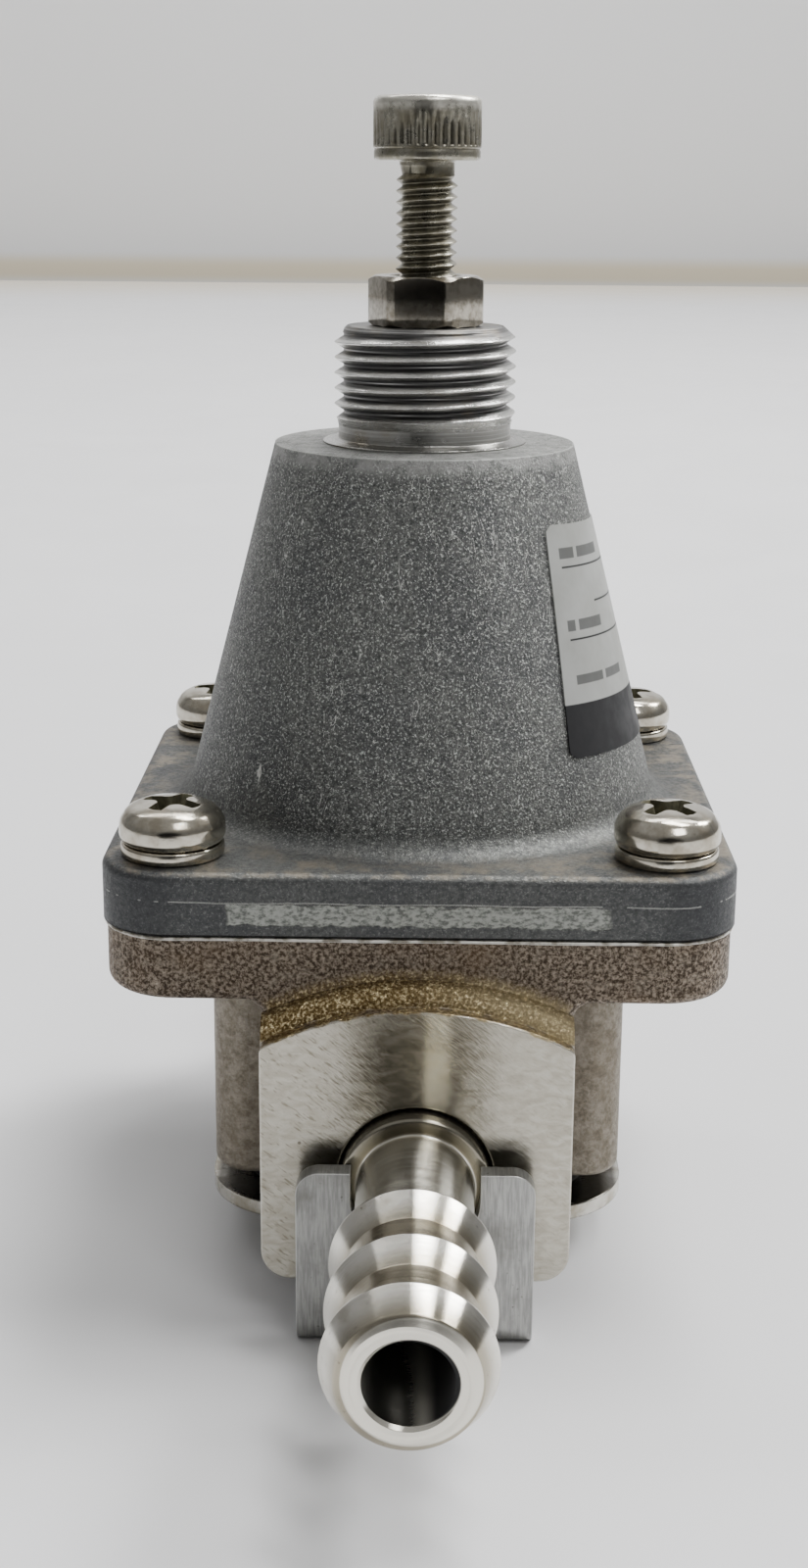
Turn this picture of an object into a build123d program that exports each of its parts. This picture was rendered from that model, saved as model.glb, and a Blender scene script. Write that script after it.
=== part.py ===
"""Small in-line air pressure regulator, in millimetres.

Frame: +Z up along the adjusting screw, origin at the centre of the base (the underside of
the retainer strap).  The outlet port points along -Y and the inlet port along +Y.
"""
import os
from math import cos, radians, sin, sqrt

from build123d import *

# ---------------------------------------------------------------- driving dimensions
# Heights above the base
STRAP_T = 1.3
COVER_BOTTOM = 3.25
COVER_T = 1.0
COLUMN_BOTTOM = 6.2
PARTING_Z = 25.3
BODY_FLANGE_T = 4.4
BONNET_FLANGE_T = 4.0
CONE_TOP = 53.3
NECK_TOP = 60.9
HEAD_UNDERSIDE = 71.3
PORT_Z = 10.1

# Working margins: how far cutting tools overshoot, and how close a position must be to match
OVERSHOOT = 1.0
TRIM_W = 4.0
MATCH = 0.01

# Square flanges and the screws that clamp them
BONNET_FLANGE_W = 39.9
BONNET_RIM_R = 0.6
BODY_FLANGE_W = 39.5
FLANGE_CORNER_R = 4.5
SCREW_SPACING = 31.0
SCREW_R = 1.75
SCREW_CLEARANCE_R = 1.9
SCREW_HEAD_R = 3.35
SCREW_HEAD_H = 2.5
SCREW_LENGTH = 8.5
SCREW_HEAD_ROUND = 1.3
RECESS_SPAN = 3.8
RECESS_W = 0.9
RECESS_DEPTH = 1.5
RECESS_TAPER = 14.0
WASHER_R = 3.25
WASHER_HOLE_R = 1.85
WASHER_T = 0.9
WASHER_GAP = 0.5
WASHER_GAP_TURN = 35.0

# Body
COLUMN_W = 27.1
COLUMN_CORNER_R = 2.5
BLOCK_W = 19.4
BLOCK_FACE = 22.05
BLOCK_TOP = 21.3
BLOCK_TOP_R = 20.3
BLOCK_CORNER_R = 1.9
BLOCK_FOOT_INNER = 14.35
BLOCK_ROOT_R = 1.2
BLEND_R = 1.3
BLEND_HALF_ARC = 33.0
BLOCK_TOP_CORNER_R = 0.6
COLUMN_EDGE_R = 0.7
FLANGE_UNDER_R = 0.9
FLANGE_RIM_CHAMFER = 0.3
PORT_R = 4.95
PORT_BOTTOM = 15.2
PASSAGE_R = 2.5
OUTLET_PASSAGE_END = 9.0
OUTLET_RISER_Y = 10.6
OUTLET_RISER_R = 1.6

# Diaphragm chamber and valve
DIAPHRAGM_R = 14.5
DIAPHRAGM_T = 0.9
RIM_RECESS_R = 14.6
CHAMBER_R = 12.5
CHAMBER_FLOOR = 21.8
VALVE_CHAMBER_R = 5.5
VALVE_CHAMBER_TOP = 17.0
SEAT_Z = 16.0
SEAT_HOLE_R = 2.2
SEAT_LIP_R = 3.0
STEM_R = 1.2
STEM_TOP = 22.9
POPPET_R = 3.9
POPPET_TOP = 15.2
POPPET_T = 3.0
SEAL_R = 3.6
GUIDE_PIN_R = 1.5
GUIDE_BORE_R = 1.56
GUIDE_TOP = 7.2
GUIDE_PIN_BOTTOM = 5.8
GUIDE_BORE_BOTTOM = 4.9

# Bottom cover, gasket and their screws
COVER_W = 28.0
COVER_CORNER_R = 6.0
COVER_HUB_R = 6.0
COVER_SPIGOT_R = 5.3
GASKET_W = 23.0
GASKET_CORNER_R = 4.0
GASKET_HOLE_R = 5.4
COVER_SCREW_SPACING = 18.4
COVER_SCREW_R = 1.25
COVER_SCREW_HOLE_R = 1.35
COVER_SCREW_HEAD_R = 2.25
COVER_SCREW_HEAD_H = 1.5
COVER_SCREW_LENGTH = 8.0
COVER_SCREW_ROUND = 0.8
SMALL_RECESS_SPAN = 2.4
SMALL_RECESS_W = 0.6
SMALL_RECESS_DEPTH = 0.9

# Bonnet
CONE_BASE_R = 16.16
CONE_TOP_R = 9.95
CONE_SHOULDER_R = 1.8
CONE_ROOT_R = 1.8
CAVITY_BASE_R = 13.0
CAVITY_STRAIGHT_H = 2.0
CAVITY_TOP_R = 7.8
CAVITY_TOP = 50.8
NECK_R = 6.0
NECK_RELIEF_R = 5.7
NECK_RELIEF_H = 1.2
NECK_CHAMFER = 0.7
SPOT_FACE_R = 6.75
SPOT_FACE_H = 0.15
VENT_R = 0.8
VENT_Z = 33.0

# Adjusting screw (M4 x 25) and lock nut
THREAD_R = 2.0
THREAD_BORE_R = 2.06
THREAD_LENGTH = 25.0
HEAD_R = 3.5
HEAD_H = 4.0
HEAD_CHAMFER = 0.45
HEAD_UNDER_CHAMFER = 0.25
TIP_CHAMFER = 0.4
SOCKET_ACROSS_FLATS = 3.0
SOCKET_DEPTH = 2.0
SHANK_R = 1.78
SHANK_H = 0.9
NUT_ACROSS_FLATS = 6.8
NUT_T = 3.2
NUT_TURN = -7.5
NUT_CHAMFER = 0.4
NUT_CHAMFER_RISE = 0.28
NUT_CORNER_TRIM = 0.05

# Setting spring and its seats
SEAT_DISC_R = 7.2
SEAT_DISC_T = 1.5
SEAT_BOSS_R = 4.8
SEAT_BOSS_H = 1.5
SPRING_R = 6.1
SPRING_WIRE_R = 0.65
SPRING_TURNS = 7
PLATE_R = 10.5
PLATE_T = 1.2
PLATE_RIM_R = 8.0
PLATE_RIM_T = 0.8
PLATE_RIM_H = 1.6
BACKING_R = 8.0
BACKING_T = 0.8
HUB_R = 2.0
HUB_FLANGE_R = 3.5
HUB_FLANGE_T = 0.7
HUB_RIVET_R = 3.0
HUB_RIVET_T = 0.8

# Valve spring
VALVE_SPRING_R = 2.7
VALVE_SPRING_WIRE_R = 0.3
VALVE_SPRING_TURNS = 4

# Hose barb, measured outwards from the regulator's axis
BARB_INNER_END = 15.4
BARB_SPIGOT_R = 4.88
BARB_CHAMFER = 0.25
BARB_COLLAR_END = 23.35
BARB_SHAFT_R = 3.63
BARB_FIRST_CREST = 32.7
BARB_CREST_PITCH = 5.3
BARB_CRESTS = 3
BARB_CREST_R = 4.85
BARB_CREST_LAND = 0.15
BARB_RAMP = 1.8
BARB_VALLEY_R = 4.0
BARB_TIP = 45.5
BARB_TIP_R = 3.45
BARB_BORE_R = 2.5
GROOVE_START = 17.4
GROOVE_END = 19.2
GROOVE_R = 3.5
O_RING_SECTION_R = 0.7
O_RING_FLOAT = 0.02

# Retainer strap
STRAP_W = 14.7
STRAP_BEND_R = 1.5
STRAP_INNER_BEND_R = 0.3
FORK_TOP = 11.75
FORK_SLOT_R = 4.0
FORK_CORNER_R = 1.4
STRAP_SCREW_R = 1.5
STRAP_SCREW_HEAD_R = 2.75
STRAP_SCREW_TIP = 4.1
STRAP_SCREW_SUNK = 0.05
STRAP_HOLE_GAP = 0.1
STRAP_SINK_TAPER = 43.0

# Label, as azimuths from the front (-Y) towards +X
LABEL_START = 42.0
LABEL_ARC = 85.0
LABEL_BOTTOM = 34.5
LABEL_TOP = 48.9
LABEL_T = 0.12

# ---------------------------------------------------------------- derived values
BODY_FLANGE_BOTTOM = PARTING_Z - BODY_FLANGE_T
BONNET_FLANGE_TOP = PARTING_Z + BONNET_FLANGE_T
COVER_TOP = COVER_BOTTOM + COVER_T
HEAD_SEAT = BONNET_FLANGE_TOP + WASHER_T
SCREW_TIP = HEAD_SEAT - SCREW_LENGTH
THREAD_TIP = HEAD_UNDERSIDE - THREAD_LENGTH
SEAT_DISC_BOTTOM = THREAD_TIP - SEAT_DISC_T
DIAPHRAGM_BOTTOM = PARTING_Z - DIAPHRAGM_T
PLATE_TOP = PARTING_Z + PLATE_T
POPPET_BOTTOM = POPPET_TOP - POPPET_T
FORK_OUTER = BARB_COLLAR_END + STRAP_T
CONE_SLOPE = (CONE_BASE_R - CONE_TOP_R) / (CONE_TOP - BONNET_FLANGE_TOP)


def cone_radius(z):
    """Outer radius of the bonnet's cone at height z."""
    return CONE_BASE_R - CONE_SLOPE * (z - BONNET_FLANGE_TOP)


def corner_grid(spacing):
    """Four places at the corners of a square."""
    return GridLocations(spacing, spacing, 2, 2)


# ---------------------------------------------------------------- body
with BuildPart() as body:
    # Column with a rounded lower edge
    with BuildSketch(Plane.XY.offset(COLUMN_BOTTOM)):
        RectangleRounded(COLUMN_W, COLUMN_W, COLUMN_CORNER_R)
    extrude(amount=BODY_FLANGE_BOTTOM - COLUMN_BOTTOM)
    fillet(body.faces().sort_by(Axis.Z)[0].edges(), radius=COLUMN_EDGE_R)

    # Two port blocks, rounded at the bottom
    with BuildSketch(Plane.XZ.offset(BODY_FLANGE_W / 2)) as block_section:
        with Locations((0, (BODY_FLANGE_BOTTOM + COVER_BOTTOM) / 2)):
            Rectangle(BLOCK_W, BODY_FLANGE_BOTTOM - COVER_BOTTOM)
        fillet(block_section.vertices().group_by(Axis.Y)[0], radius=BLOCK_CORNER_R)
    extrude(amount=-BODY_FLANGE_W)

    # Square flange, filleted where it meets the blocks, rounded below and chamfered above
    with BuildSketch(Plane.XY.offset(BODY_FLANGE_BOTTOM)):
        RectangleRounded(BODY_FLANGE_W, BODY_FLANGE_W, FLANGE_CORNER_R)
    extrude(amount=BODY_FLANGE_T)
    underside = [
        edge for edge in body.edges() if abs(edge.center().Z - BODY_FLANGE_BOTTOM) < MATCH
    ]
    block_roots = [
        edge for edge in underside if abs(abs(edge.center().X) - BLOCK_W / 2) < MATCH
    ]
    fillet(block_roots, radius=BLOCK_ROOT_R)
    flange_corner = BODY_FLANGE_W / 2 - FLANGE_CORNER_R
    underside_rim = [
        edge
        for edge in body.edges()
        if abs(edge.center().Z - BODY_FLANGE_BOTTOM) < MATCH
        and max(abs(edge.center().X), abs(edge.center().Y)) > flange_corner + OVERSHOOT
        and abs(edge.center().X) > BLOCK_W / 2 + OVERSHOOT
    ]
    fillet(underside_rim, radius=FLANGE_UNDER_R)
    chamfer(body.faces().sort_by(Axis.Z)[-1].edges(), length=FLANGE_RIM_CHAMFER)

    # The machined face of each block: arched top, with a concave blend up to the flange
    arch_centre = BLOCK_TOP - BLOCK_TOP_R
    arch_drop = BLOCK_TOP_R - sqrt(BLOCK_TOP_R**2 - (BLOCK_W / 2) ** 2)
    flange_face = BODY_FLANGE_W / 2
    for side in (1, -1):
        with BuildSketch(Plane.XZ.offset(side * BLOCK_FACE)) as block_outline:
            with BuildLine():
                left = (-BLOCK_W / 2, BLOCK_TOP - arch_drop)
                right = (BLOCK_W / 2, BLOCK_TOP - arch_drop)
                ThreePointArc(left, (0, BLOCK_TOP), right)
                Polyline(right, (BLOCK_W / 2, COVER_BOTTOM), (-BLOCK_W / 2, COVER_BOTTOM), left)
            make_face()
            fillet(block_outline.vertices().group_by(Axis.Y)[0], radius=BLOCK_CORNER_R)
            fillet(block_outline.vertices().group_by(Axis.Y)[-1], radius=BLOCK_TOP_CORNER_R)
        extrude(amount=-side * (BLOCK_FACE - flange_face))
        # The blend is a concave quarter round turned about the centre of the arch
        turn = radians(90 + BLEND_HALF_ARC)
        blend_plane = Plane(
            origin=(0, 0, arch_centre),
            x_dir=(cos(turn), 0, sin(turn)),
            z_dir=(side * sin(turn), 0, -side * cos(turn)),
        )
        with BuildSketch(blend_plane):
            with BuildLine():
                inner_point = (BLOCK_TOP_R, flange_face + BLEND_R)
                outer_point = (BLOCK_TOP_R + BLEND_R, flange_face)
                RadiusArc(inner_point, outer_point, BLEND_R)
                Polyline(outer_point, (BLOCK_TOP_R - OVERSHOOT, flange_face),
                         (BLOCK_TOP_R - OVERSHOOT, flange_face + BLEND_R), inner_point)
            make_face()
        revolve(axis=Axis((0, 0, arch_centre), (0, 1, 0)), revolution_arc=2 * BLEND_HALF_ARC)
        # Trim the ends of the blend flush with the sides of the block
        with BuildSketch(Plane.XY.offset(COLUMN_BOTTOM)):
            with Locations(
                (BLOCK_W / 2 + TRIM_W / 2, -side * (flange_face + TRIM_W / 2)),
                (-BLOCK_W / 2 - TRIM_W / 2, -side * (flange_face + TRIM_W / 2)),
            ):
                Rectangle(TRIM_W, TRIM_W)
        extrude(amount=PARTING_Z - COLUMN_BOTTOM, mode=Mode.SUBTRACT)

    # Room for the bottom cover between the two blocks
    with BuildSketch(Plane.XY.offset(COVER_BOTTOM - OVERSHOOT)):
        Rectangle(COLUMN_W + TRIM_W, 2 * BLOCK_FOOT_INNER)
    extrude(amount=COLUMN_BOTTOM - COVER_BOTTOM + OVERSHOOT, mode=Mode.SUBTRACT)

    # Diaphragm rim recess, outlet chamber, seat hole and valve chamber with its lip
    for radius, top, floor in (
        (RIM_RECESS_R, PARTING_Z, DIAPHRAGM_BOTTOM),
        (CHAMBER_R, DIAPHRAGM_BOTTOM, CHAMBER_FLOOR),
        (SEAT_HOLE_R, CHAMBER_FLOOR, SEAT_Z),
        (VALVE_CHAMBER_R, SEAT_Z, COLUMN_BOTTOM),
    ):
        with BuildSketch(Plane.XY.offset(floor)):
            Circle(radius)
        extrude(amount=top - floor, mode=Mode.SUBTRACT)
    with BuildSketch(Plane.XY.offset(SEAT_Z)):
        Circle(VALVE_CHAMBER_R)
        Circle(SEAT_LIP_R, mode=Mode.SUBTRACT)
    extrude(amount=VALVE_CHAMBER_TOP - SEAT_Z, mode=Mode.SUBTRACT)

    # Ports: outlet in front with a riser to the diaphragm chamber, inlet behind to the valve
    for side, inward in ((1, -1), (-1, 1)):
        with BuildSketch(Plane.XZ.offset(side * BLOCK_FACE)):
            with Locations((0, PORT_Z)):
                Circle(PORT_R)
        extrude(amount=inward * (BLOCK_FACE - PORT_BOTTOM), mode=Mode.SUBTRACT)
    with BuildSketch(Plane.XZ.offset(PORT_BOTTOM)):
        with Locations((0, PORT_Z)):
            Circle(PASSAGE_R)
    extrude(amount=-(PORT_BOTTOM - OUTLET_PASSAGE_END), mode=Mode.SUBTRACT)
    with BuildSketch(Plane.XZ.offset(-PORT_BOTTOM)):
        with Locations((0, PORT_Z)):
            Circle(PASSAGE_R)
    extrude(amount=PORT_BOTTOM - OVERSHOOT, mode=Mode.SUBTRACT)
    with BuildSketch(Plane.XY.offset(PORT_Z)):
        with Locations((0, -OUTLET_RISER_Y)):
            Circle(OUTLET_RISER_R)
    extrude(amount=CHAMBER_FLOOR - PORT_Z, mode=Mode.SUBTRACT)

    # Tapped holes for the bonnet screws and the cover screws, drawn at the thread's diameter
    with BuildSketch(Plane.XY.offset(BODY_FLANGE_BOTTOM)):
        with corner_grid(SCREW_SPACING):
            Circle(SCREW_R)
    extrude(amount=BODY_FLANGE_T, mode=Mode.SUBTRACT)
    with BuildSketch(Plane.XY.offset(COLUMN_BOTTOM)):
        with corner_grid(COVER_SCREW_SPACING):
            Circle(COVER_SCREW_R)
    extrude(amount=COVER_BOTTOM + COVER_SCREW_LENGTH - COLUMN_BOTTOM, mode=Mode.SUBTRACT)
body.part.label = "body"

# ---------------------------------------------------------------- bonnet
with BuildPart() as bonnet:
    with BuildSketch(Plane.XY.offset(PARTING_Z)):
        RectangleRounded(BONNET_FLANGE_W, BONNET_FLANGE_W, FLANGE_CORNER_R)
    extrude(amount=BONNET_FLANGE_T)
    fillet(bonnet.faces().sort_by(Axis.Z)[-1].edges(), radius=BONNET_RIM_R)

    # Cone, spot face, thread relief and neck as one turned profile
    with BuildSketch(Plane.XZ) as profile:
        with BuildLine():
            Polyline(
                (0, PARTING_Z),
                (CONE_BASE_R + CONE_SLOPE * BONNET_FLANGE_T, PARTING_Z),
                (CONE_TOP_R, CONE_TOP),
                (SPOT_FACE_R, CONE_TOP),
                (SPOT_FACE_R, CONE_TOP + SPOT_FACE_H),
                (NECK_RELIEF_R, CONE_TOP + SPOT_FACE_H),
                (NECK_RELIEF_R, CONE_TOP + NECK_RELIEF_H),
                (NECK_R, CONE_TOP + NECK_RELIEF_H),
                (NECK_R, NECK_TOP - NECK_CHAMFER),
                (NECK_R - NECK_CHAMFER, NECK_TOP),
                (0, NECK_TOP),
                close=True,
            )
        make_face()
        shoulder = profile.vertices().sort_by_distance((CONE_TOP_R, 0, CONE_TOP))[0]
        fillet(shoulder, radius=CONE_SHOULDER_R)
    revolve(axis=Axis.Z)
    root = [
        edge
        for edge in bonnet.edges().filter_by(GeomType.CIRCLE)
        if abs(edge.center().Z - BONNET_FLANGE_TOP) < 0.01 and abs(edge.radius - CONE_BASE_R) < 0.1
    ]
    fillet(root, radius=CONE_ROOT_R)

    # Spring cavity, screw bore, vent and screw holes
    with BuildSketch(Plane.XZ):
        with BuildLine():
            Polyline(
                (0, PARTING_Z),
                (CAVITY_BASE_R, PARTING_Z),
                (CAVITY_BASE_R, PARTING_Z + CAVITY_STRAIGHT_H),
                (CAVITY_TOP_R, CAVITY_TOP),
                (0, CAVITY_TOP),
                close=True,
            )
        make_face()
    revolve(axis=Axis.Z, mode=Mode.SUBTRACT)
    with BuildSketch(Plane.XY.offset(CAVITY_TOP)):
        Circle(THREAD_BORE_R)
    extrude(amount=NECK_TOP - CAVITY_TOP, mode=Mode.SUBTRACT)
    with BuildSketch(Plane.XZ):
        with Locations((0, VENT_Z)):
            Circle(VENT_R)
    extrude(amount=-(CONE_BASE_R + OVERSHOOT), mode=Mode.SUBTRACT)
    with BuildSketch(Plane.XY.offset(PARTING_Z)):
        with corner_grid(SCREW_SPACING):
            Circle(SCREW_CLEARANCE_R)
    extrude(amount=BONNET_FLANGE_T, mode=Mode.SUBTRACT)
bonnet.part.label = "bonnet"

# ---------------------------------------------------------------- bonnet screws and washers
with BuildPart() as bonnet_screws:
    with BuildSketch(Plane.XY.offset(SCREW_TIP)):
        with corner_grid(SCREW_SPACING):
            Circle(SCREW_R)
    extrude(amount=SCREW_LENGTH)
    with BuildSketch(Plane.XY.offset(HEAD_SEAT)):
        with corner_grid(SCREW_SPACING):
            Circle(SCREW_HEAD_R)
    extrude(amount=SCREW_HEAD_H)
    fillet(bonnet_screws.faces().group_by(Axis.Z)[-1].edges(), radius=SCREW_HEAD_ROUND)
    # Cross recess, narrowing towards its floor
    with BuildSketch(Plane.XY.offset(HEAD_SEAT + SCREW_HEAD_H)):
        with corner_grid(SCREW_SPACING):
            Rectangle(RECESS_SPAN, RECESS_W)
            Rectangle(RECESS_W, RECESS_SPAN)
    extrude(amount=-RECESS_DEPTH, taper=RECESS_TAPER, mode=Mode.SUBTRACT)
bonnet_screws.part.label = "bonnet_screws"

with BuildPart() as spring_washers:
    with BuildSketch(Plane.XY.offset(BONNET_FLANGE_TOP)):
        with corner_grid(SCREW_SPACING):
            Circle(WASHER_R)
            Circle(WASHER_HOLE_R, mode=Mode.SUBTRACT)
        # The split through each washer
        split_r = (WASHER_R + WASHER_HOLE_R) / 2
        split_turn = radians(WASHER_GAP_TURN)
        with corner_grid(SCREW_SPACING):
            with Locations((split_r * cos(split_turn), split_r * sin(split_turn))):
                Rectangle(WASHER_R, WASHER_GAP, rotation=WASHER_GAP_TURN, mode=Mode.SUBTRACT)
    extrude(amount=WASHER_T)
spring_washers.part.label = "spring_washers"

# ---------------------------------------------------------------- adjusting screw and nut
with BuildPart() as adjusting_screw:
    with BuildSketch(Plane.XZ):
        with BuildLine():
            Polyline(
                (0, THREAD_TIP),
                (THREAD_R - TIP_CHAMFER, THREAD_TIP),
                (THREAD_R, THREAD_TIP + TIP_CHAMFER),
                (THREAD_R, HEAD_UNDERSIDE - SHANK_H),
                (SHANK_R, HEAD_UNDERSIDE - SHANK_H),
                (SHANK_R, HEAD_UNDERSIDE),
                (HEAD_R - HEAD_UNDER_CHAMFER, HEAD_UNDERSIDE),
                (HEAD_R, HEAD_UNDERSIDE + HEAD_UNDER_CHAMFER),
                (HEAD_R, HEAD_UNDERSIDE + HEAD_H - HEAD_CHAMFER),
                (HEAD_R - HEAD_CHAMFER, HEAD_UNDERSIDE + HEAD_H),
                (0, HEAD_UNDERSIDE + HEAD_H),
                close=True,
            )
        make_face()
    revolve(axis=Axis.Z)
    with BuildSketch(Plane.XY.offset(HEAD_UNDERSIDE + HEAD_H)):
        RegularPolygon(SOCKET_ACROSS_FLATS / 2, 6, major_radius=False)
    extrude(amount=-SOCKET_DEPTH, mode=Mode.SUBTRACT)
adjusting_screw.part.label = "adjusting_screw"

with BuildPart() as lock_nut:
    with BuildSketch(Plane.XY.offset(NECK_TOP)):
        RegularPolygon(NUT_ACROSS_FLATS / 2, 6, major_radius=False, rotation=NUT_TURN)
        Circle(THREAD_BORE_R, mode=Mode.SUBTRACT)
    extrude(amount=NUT_T)
    # Both ends chamfered in the lathe, more on the top, which rounds the hexagon's corners
    corner_r = NUT_ACROSS_FLATS / 2 / cos(radians(30)) - NUT_CORNER_TRIM
    with BuildSketch(Plane.XZ):
        with BuildLine():
            Polyline(
                (0, NECK_TOP),
                (corner_r - NUT_CHAMFER, NECK_TOP),
                (corner_r, NECK_TOP + NUT_CHAMFER / 2),
                (corner_r, NECK_TOP + NUT_T - NUT_CHAMFER_RISE),
                (corner_r - NUT_CHAMFER, NECK_TOP + NUT_T),
                (0, NECK_TOP + NUT_T),
                close=True,
            )
        make_face()
    revolve(axis=Axis.Z, mode=Mode.INTERSECT)
lock_nut.part.label = "lock_nut"

# ---------------------------------------------------------------- setting spring and seats
with BuildPart() as upper_spring_seat:
    with BuildSketch(Plane.XY.offset(SEAT_DISC_BOTTOM)):
        Circle(SEAT_DISC_R)
    extrude(amount=SEAT_DISC_T)
    with BuildSketch(Plane.XY.offset(SEAT_DISC_BOTTOM)):
        Circle(SEAT_BOSS_R)
    extrude(amount=-SEAT_BOSS_H)
upper_spring_seat.part.label = "upper_spring_seat"


def coil_path(radius, wire_radius, bottom, top, turns):
    """Centre line of a coil whose wire just fits between two seats."""
    height = top - bottom - 2 * wire_radius
    return Helix(
        pitch=height / turns, height=height, radius=radius, center=(0, 0, bottom + wire_radius),
        mode=Mode.PRIVATE,
    )


with BuildPart() as range_spring:
    with BuildLine() as range_coil:
        add(coil_path(SPRING_R, SPRING_WIRE_R, PLATE_TOP, SEAT_DISC_BOTTOM, SPRING_TURNS))
    with BuildSketch(Plane(origin=range_coil.line @ 0, z_dir=range_coil.line % 0)):
        Circle(SPRING_WIRE_R)
    sweep(path=range_coil.line, is_frenet=True)
range_spring.part.label = "range_spring"

with BuildPart() as diaphragm_plate:
    with BuildSketch(Plane.XY.offset(PARTING_Z)):
        Circle(PLATE_R)
        Circle(HUB_R, mode=Mode.SUBTRACT)
    extrude(amount=PLATE_T)
    with BuildSketch(Plane.XY.offset(PLATE_TOP)):
        Circle(PLATE_RIM_R)
        Circle(PLATE_RIM_R - PLATE_RIM_T, mode=Mode.SUBTRACT)
    extrude(amount=PLATE_RIM_H)
diaphragm_plate.part.label = "diaphragm_plate"

with BuildPart() as diaphragm:
    with BuildSketch(Plane.XY.offset(DIAPHRAGM_BOTTOM)):
        Circle(DIAPHRAGM_R)
        Circle(HUB_R, mode=Mode.SUBTRACT)
    extrude(amount=DIAPHRAGM_T)
diaphragm.part.label = "diaphragm"

with BuildPart() as diaphragm_washer:
    with BuildSketch(Plane.XY.offset(DIAPHRAGM_BOTTOM - BACKING_T)):
        Circle(BACKING_R)
        Circle(HUB_R, mode=Mode.SUBTRACT)
    extrude(amount=BACKING_T)
diaphragm_washer.part.label = "diaphragm_washer"

with BuildPart() as diaphragm_hub:
    with BuildSketch(Plane.XY.offset(STEM_TOP)):
        Circle(HUB_FLANGE_R)
    extrude(amount=HUB_FLANGE_T)
    with BuildSketch(Plane.XY.offset(STEM_TOP + HUB_FLANGE_T)):
        Circle(HUB_R)
    extrude(amount=PLATE_TOP - STEM_TOP - HUB_FLANGE_T)
    with BuildSketch(Plane.XY.offset(PLATE_TOP)):
        Circle(HUB_RIVET_R)
    extrude(amount=HUB_RIVET_T)
diaphragm_hub.part.label = "diaphragm_hub"

# ---------------------------------------------------------------- valve
with BuildPart() as valve_poppet:
    for radius, floor, top in (
        (STEM_R, POPPET_TOP, STEM_TOP),
        (POPPET_R, POPPET_BOTTOM, POPPET_TOP),
        (GUIDE_PIN_R, GUIDE_PIN_BOTTOM, POPPET_BOTTOM),
    ):
        with BuildSketch(Plane.XY.offset(floor)):
            Circle(radius)
        extrude(amount=top - floor)
valve_poppet.part.label = "valve_poppet"

with BuildPart() as valve_seal:
    with BuildSketch(Plane.XY.offset(POPPET_TOP)):
        Circle(SEAL_R)
        Circle(STEM_R, mode=Mode.SUBTRACT)
    extrude(amount=SEAT_Z - POPPET_TOP)
valve_seal.part.label = "valve_seal"

with BuildPart() as valve_spring:
    with BuildLine() as valve_coil:
        add(
            coil_path(
                VALVE_SPRING_R, VALVE_SPRING_WIRE_R, GUIDE_TOP, POPPET_BOTTOM, VALVE_SPRING_TURNS
            )
        )
    with BuildSketch(Plane(origin=valve_coil.line @ 0, z_dir=valve_coil.line % 0)):
        Circle(VALVE_SPRING_WIRE_R)
    sweep(path=valve_coil.line, is_frenet=True)
valve_spring.part.label = "valve_spring"

# ---------------------------------------------------------------- bottom cover and its screws
with BuildPart() as bottom_cover:
    with BuildSketch(Plane.XY.offset(COVER_BOTTOM)):
        RectangleRounded(COVER_W, COVER_W, COVER_CORNER_R)
    extrude(amount=COVER_T)
    with BuildSketch(Plane.XY.offset(COVER_TOP)):
        Circle(COVER_SPIGOT_R)
    extrude(amount=GUIDE_TOP - COVER_TOP)
    with BuildSketch(Plane.XY.offset(STRAP_T)):
        Circle(COVER_HUB_R)
    extrude(amount=COVER_BOTTOM - STRAP_T)
    with BuildSketch(Plane.XY.offset(GUIDE_TOP)):
        Circle(GUIDE_BORE_R)
    extrude(amount=-(GUIDE_TOP - GUIDE_BORE_BOTTOM), mode=Mode.SUBTRACT)
    with BuildSketch(Plane.XY.offset(STRAP_T)):
        Circle(STRAP_SCREW_R)
    extrude(amount=STRAP_SCREW_TIP - STRAP_T, mode=Mode.SUBTRACT)
    with BuildSketch(Plane.XY.offset(COVER_BOTTOM)):
        with corner_grid(COVER_SCREW_SPACING):
            Circle(COVER_SCREW_HOLE_R)
    extrude(amount=COVER_T, mode=Mode.SUBTRACT)
bottom_cover.part.label = "bottom_cover"

with BuildPart() as bottom_gasket:
    with BuildSketch(Plane.XY.offset(COVER_TOP)):
        RectangleRounded(GASKET_W, GASKET_W, GASKET_CORNER_R)
        Circle(GASKET_HOLE_R, mode=Mode.SUBTRACT)
        with corner_grid(COVER_SCREW_SPACING):
            Circle(COVER_SCREW_HOLE_R, mode=Mode.SUBTRACT)
    extrude(amount=COLUMN_BOTTOM - COVER_TOP)
bottom_gasket.part.label = "bottom_gasket"

with BuildPart() as cover_screws:
    with BuildSketch(Plane.XY.offset(COVER_BOTTOM)):
        with corner_grid(COVER_SCREW_SPACING):
            Circle(COVER_SCREW_R)
    extrude(amount=COVER_SCREW_LENGTH)
    with BuildSketch(Plane.XY.offset(COVER_BOTTOM)):
        with corner_grid(COVER_SCREW_SPACING):
            Circle(COVER_SCREW_HEAD_R)
    extrude(amount=-COVER_SCREW_HEAD_H)
    fillet(cover_screws.faces().group_by(Axis.Z)[0].edges(), radius=COVER_SCREW_ROUND)
    with BuildSketch(Plane.XY.offset(COVER_BOTTOM - COVER_SCREW_HEAD_H)):
        with corner_grid(COVER_SCREW_SPACING):
            Rectangle(SMALL_RECESS_SPAN, SMALL_RECESS_W)
            Rectangle(SMALL_RECESS_W, SMALL_RECESS_SPAN)
    extrude(amount=SMALL_RECESS_DEPTH, mode=Mode.SUBTRACT)
cover_screws.part.label = "cover_screws"


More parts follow.
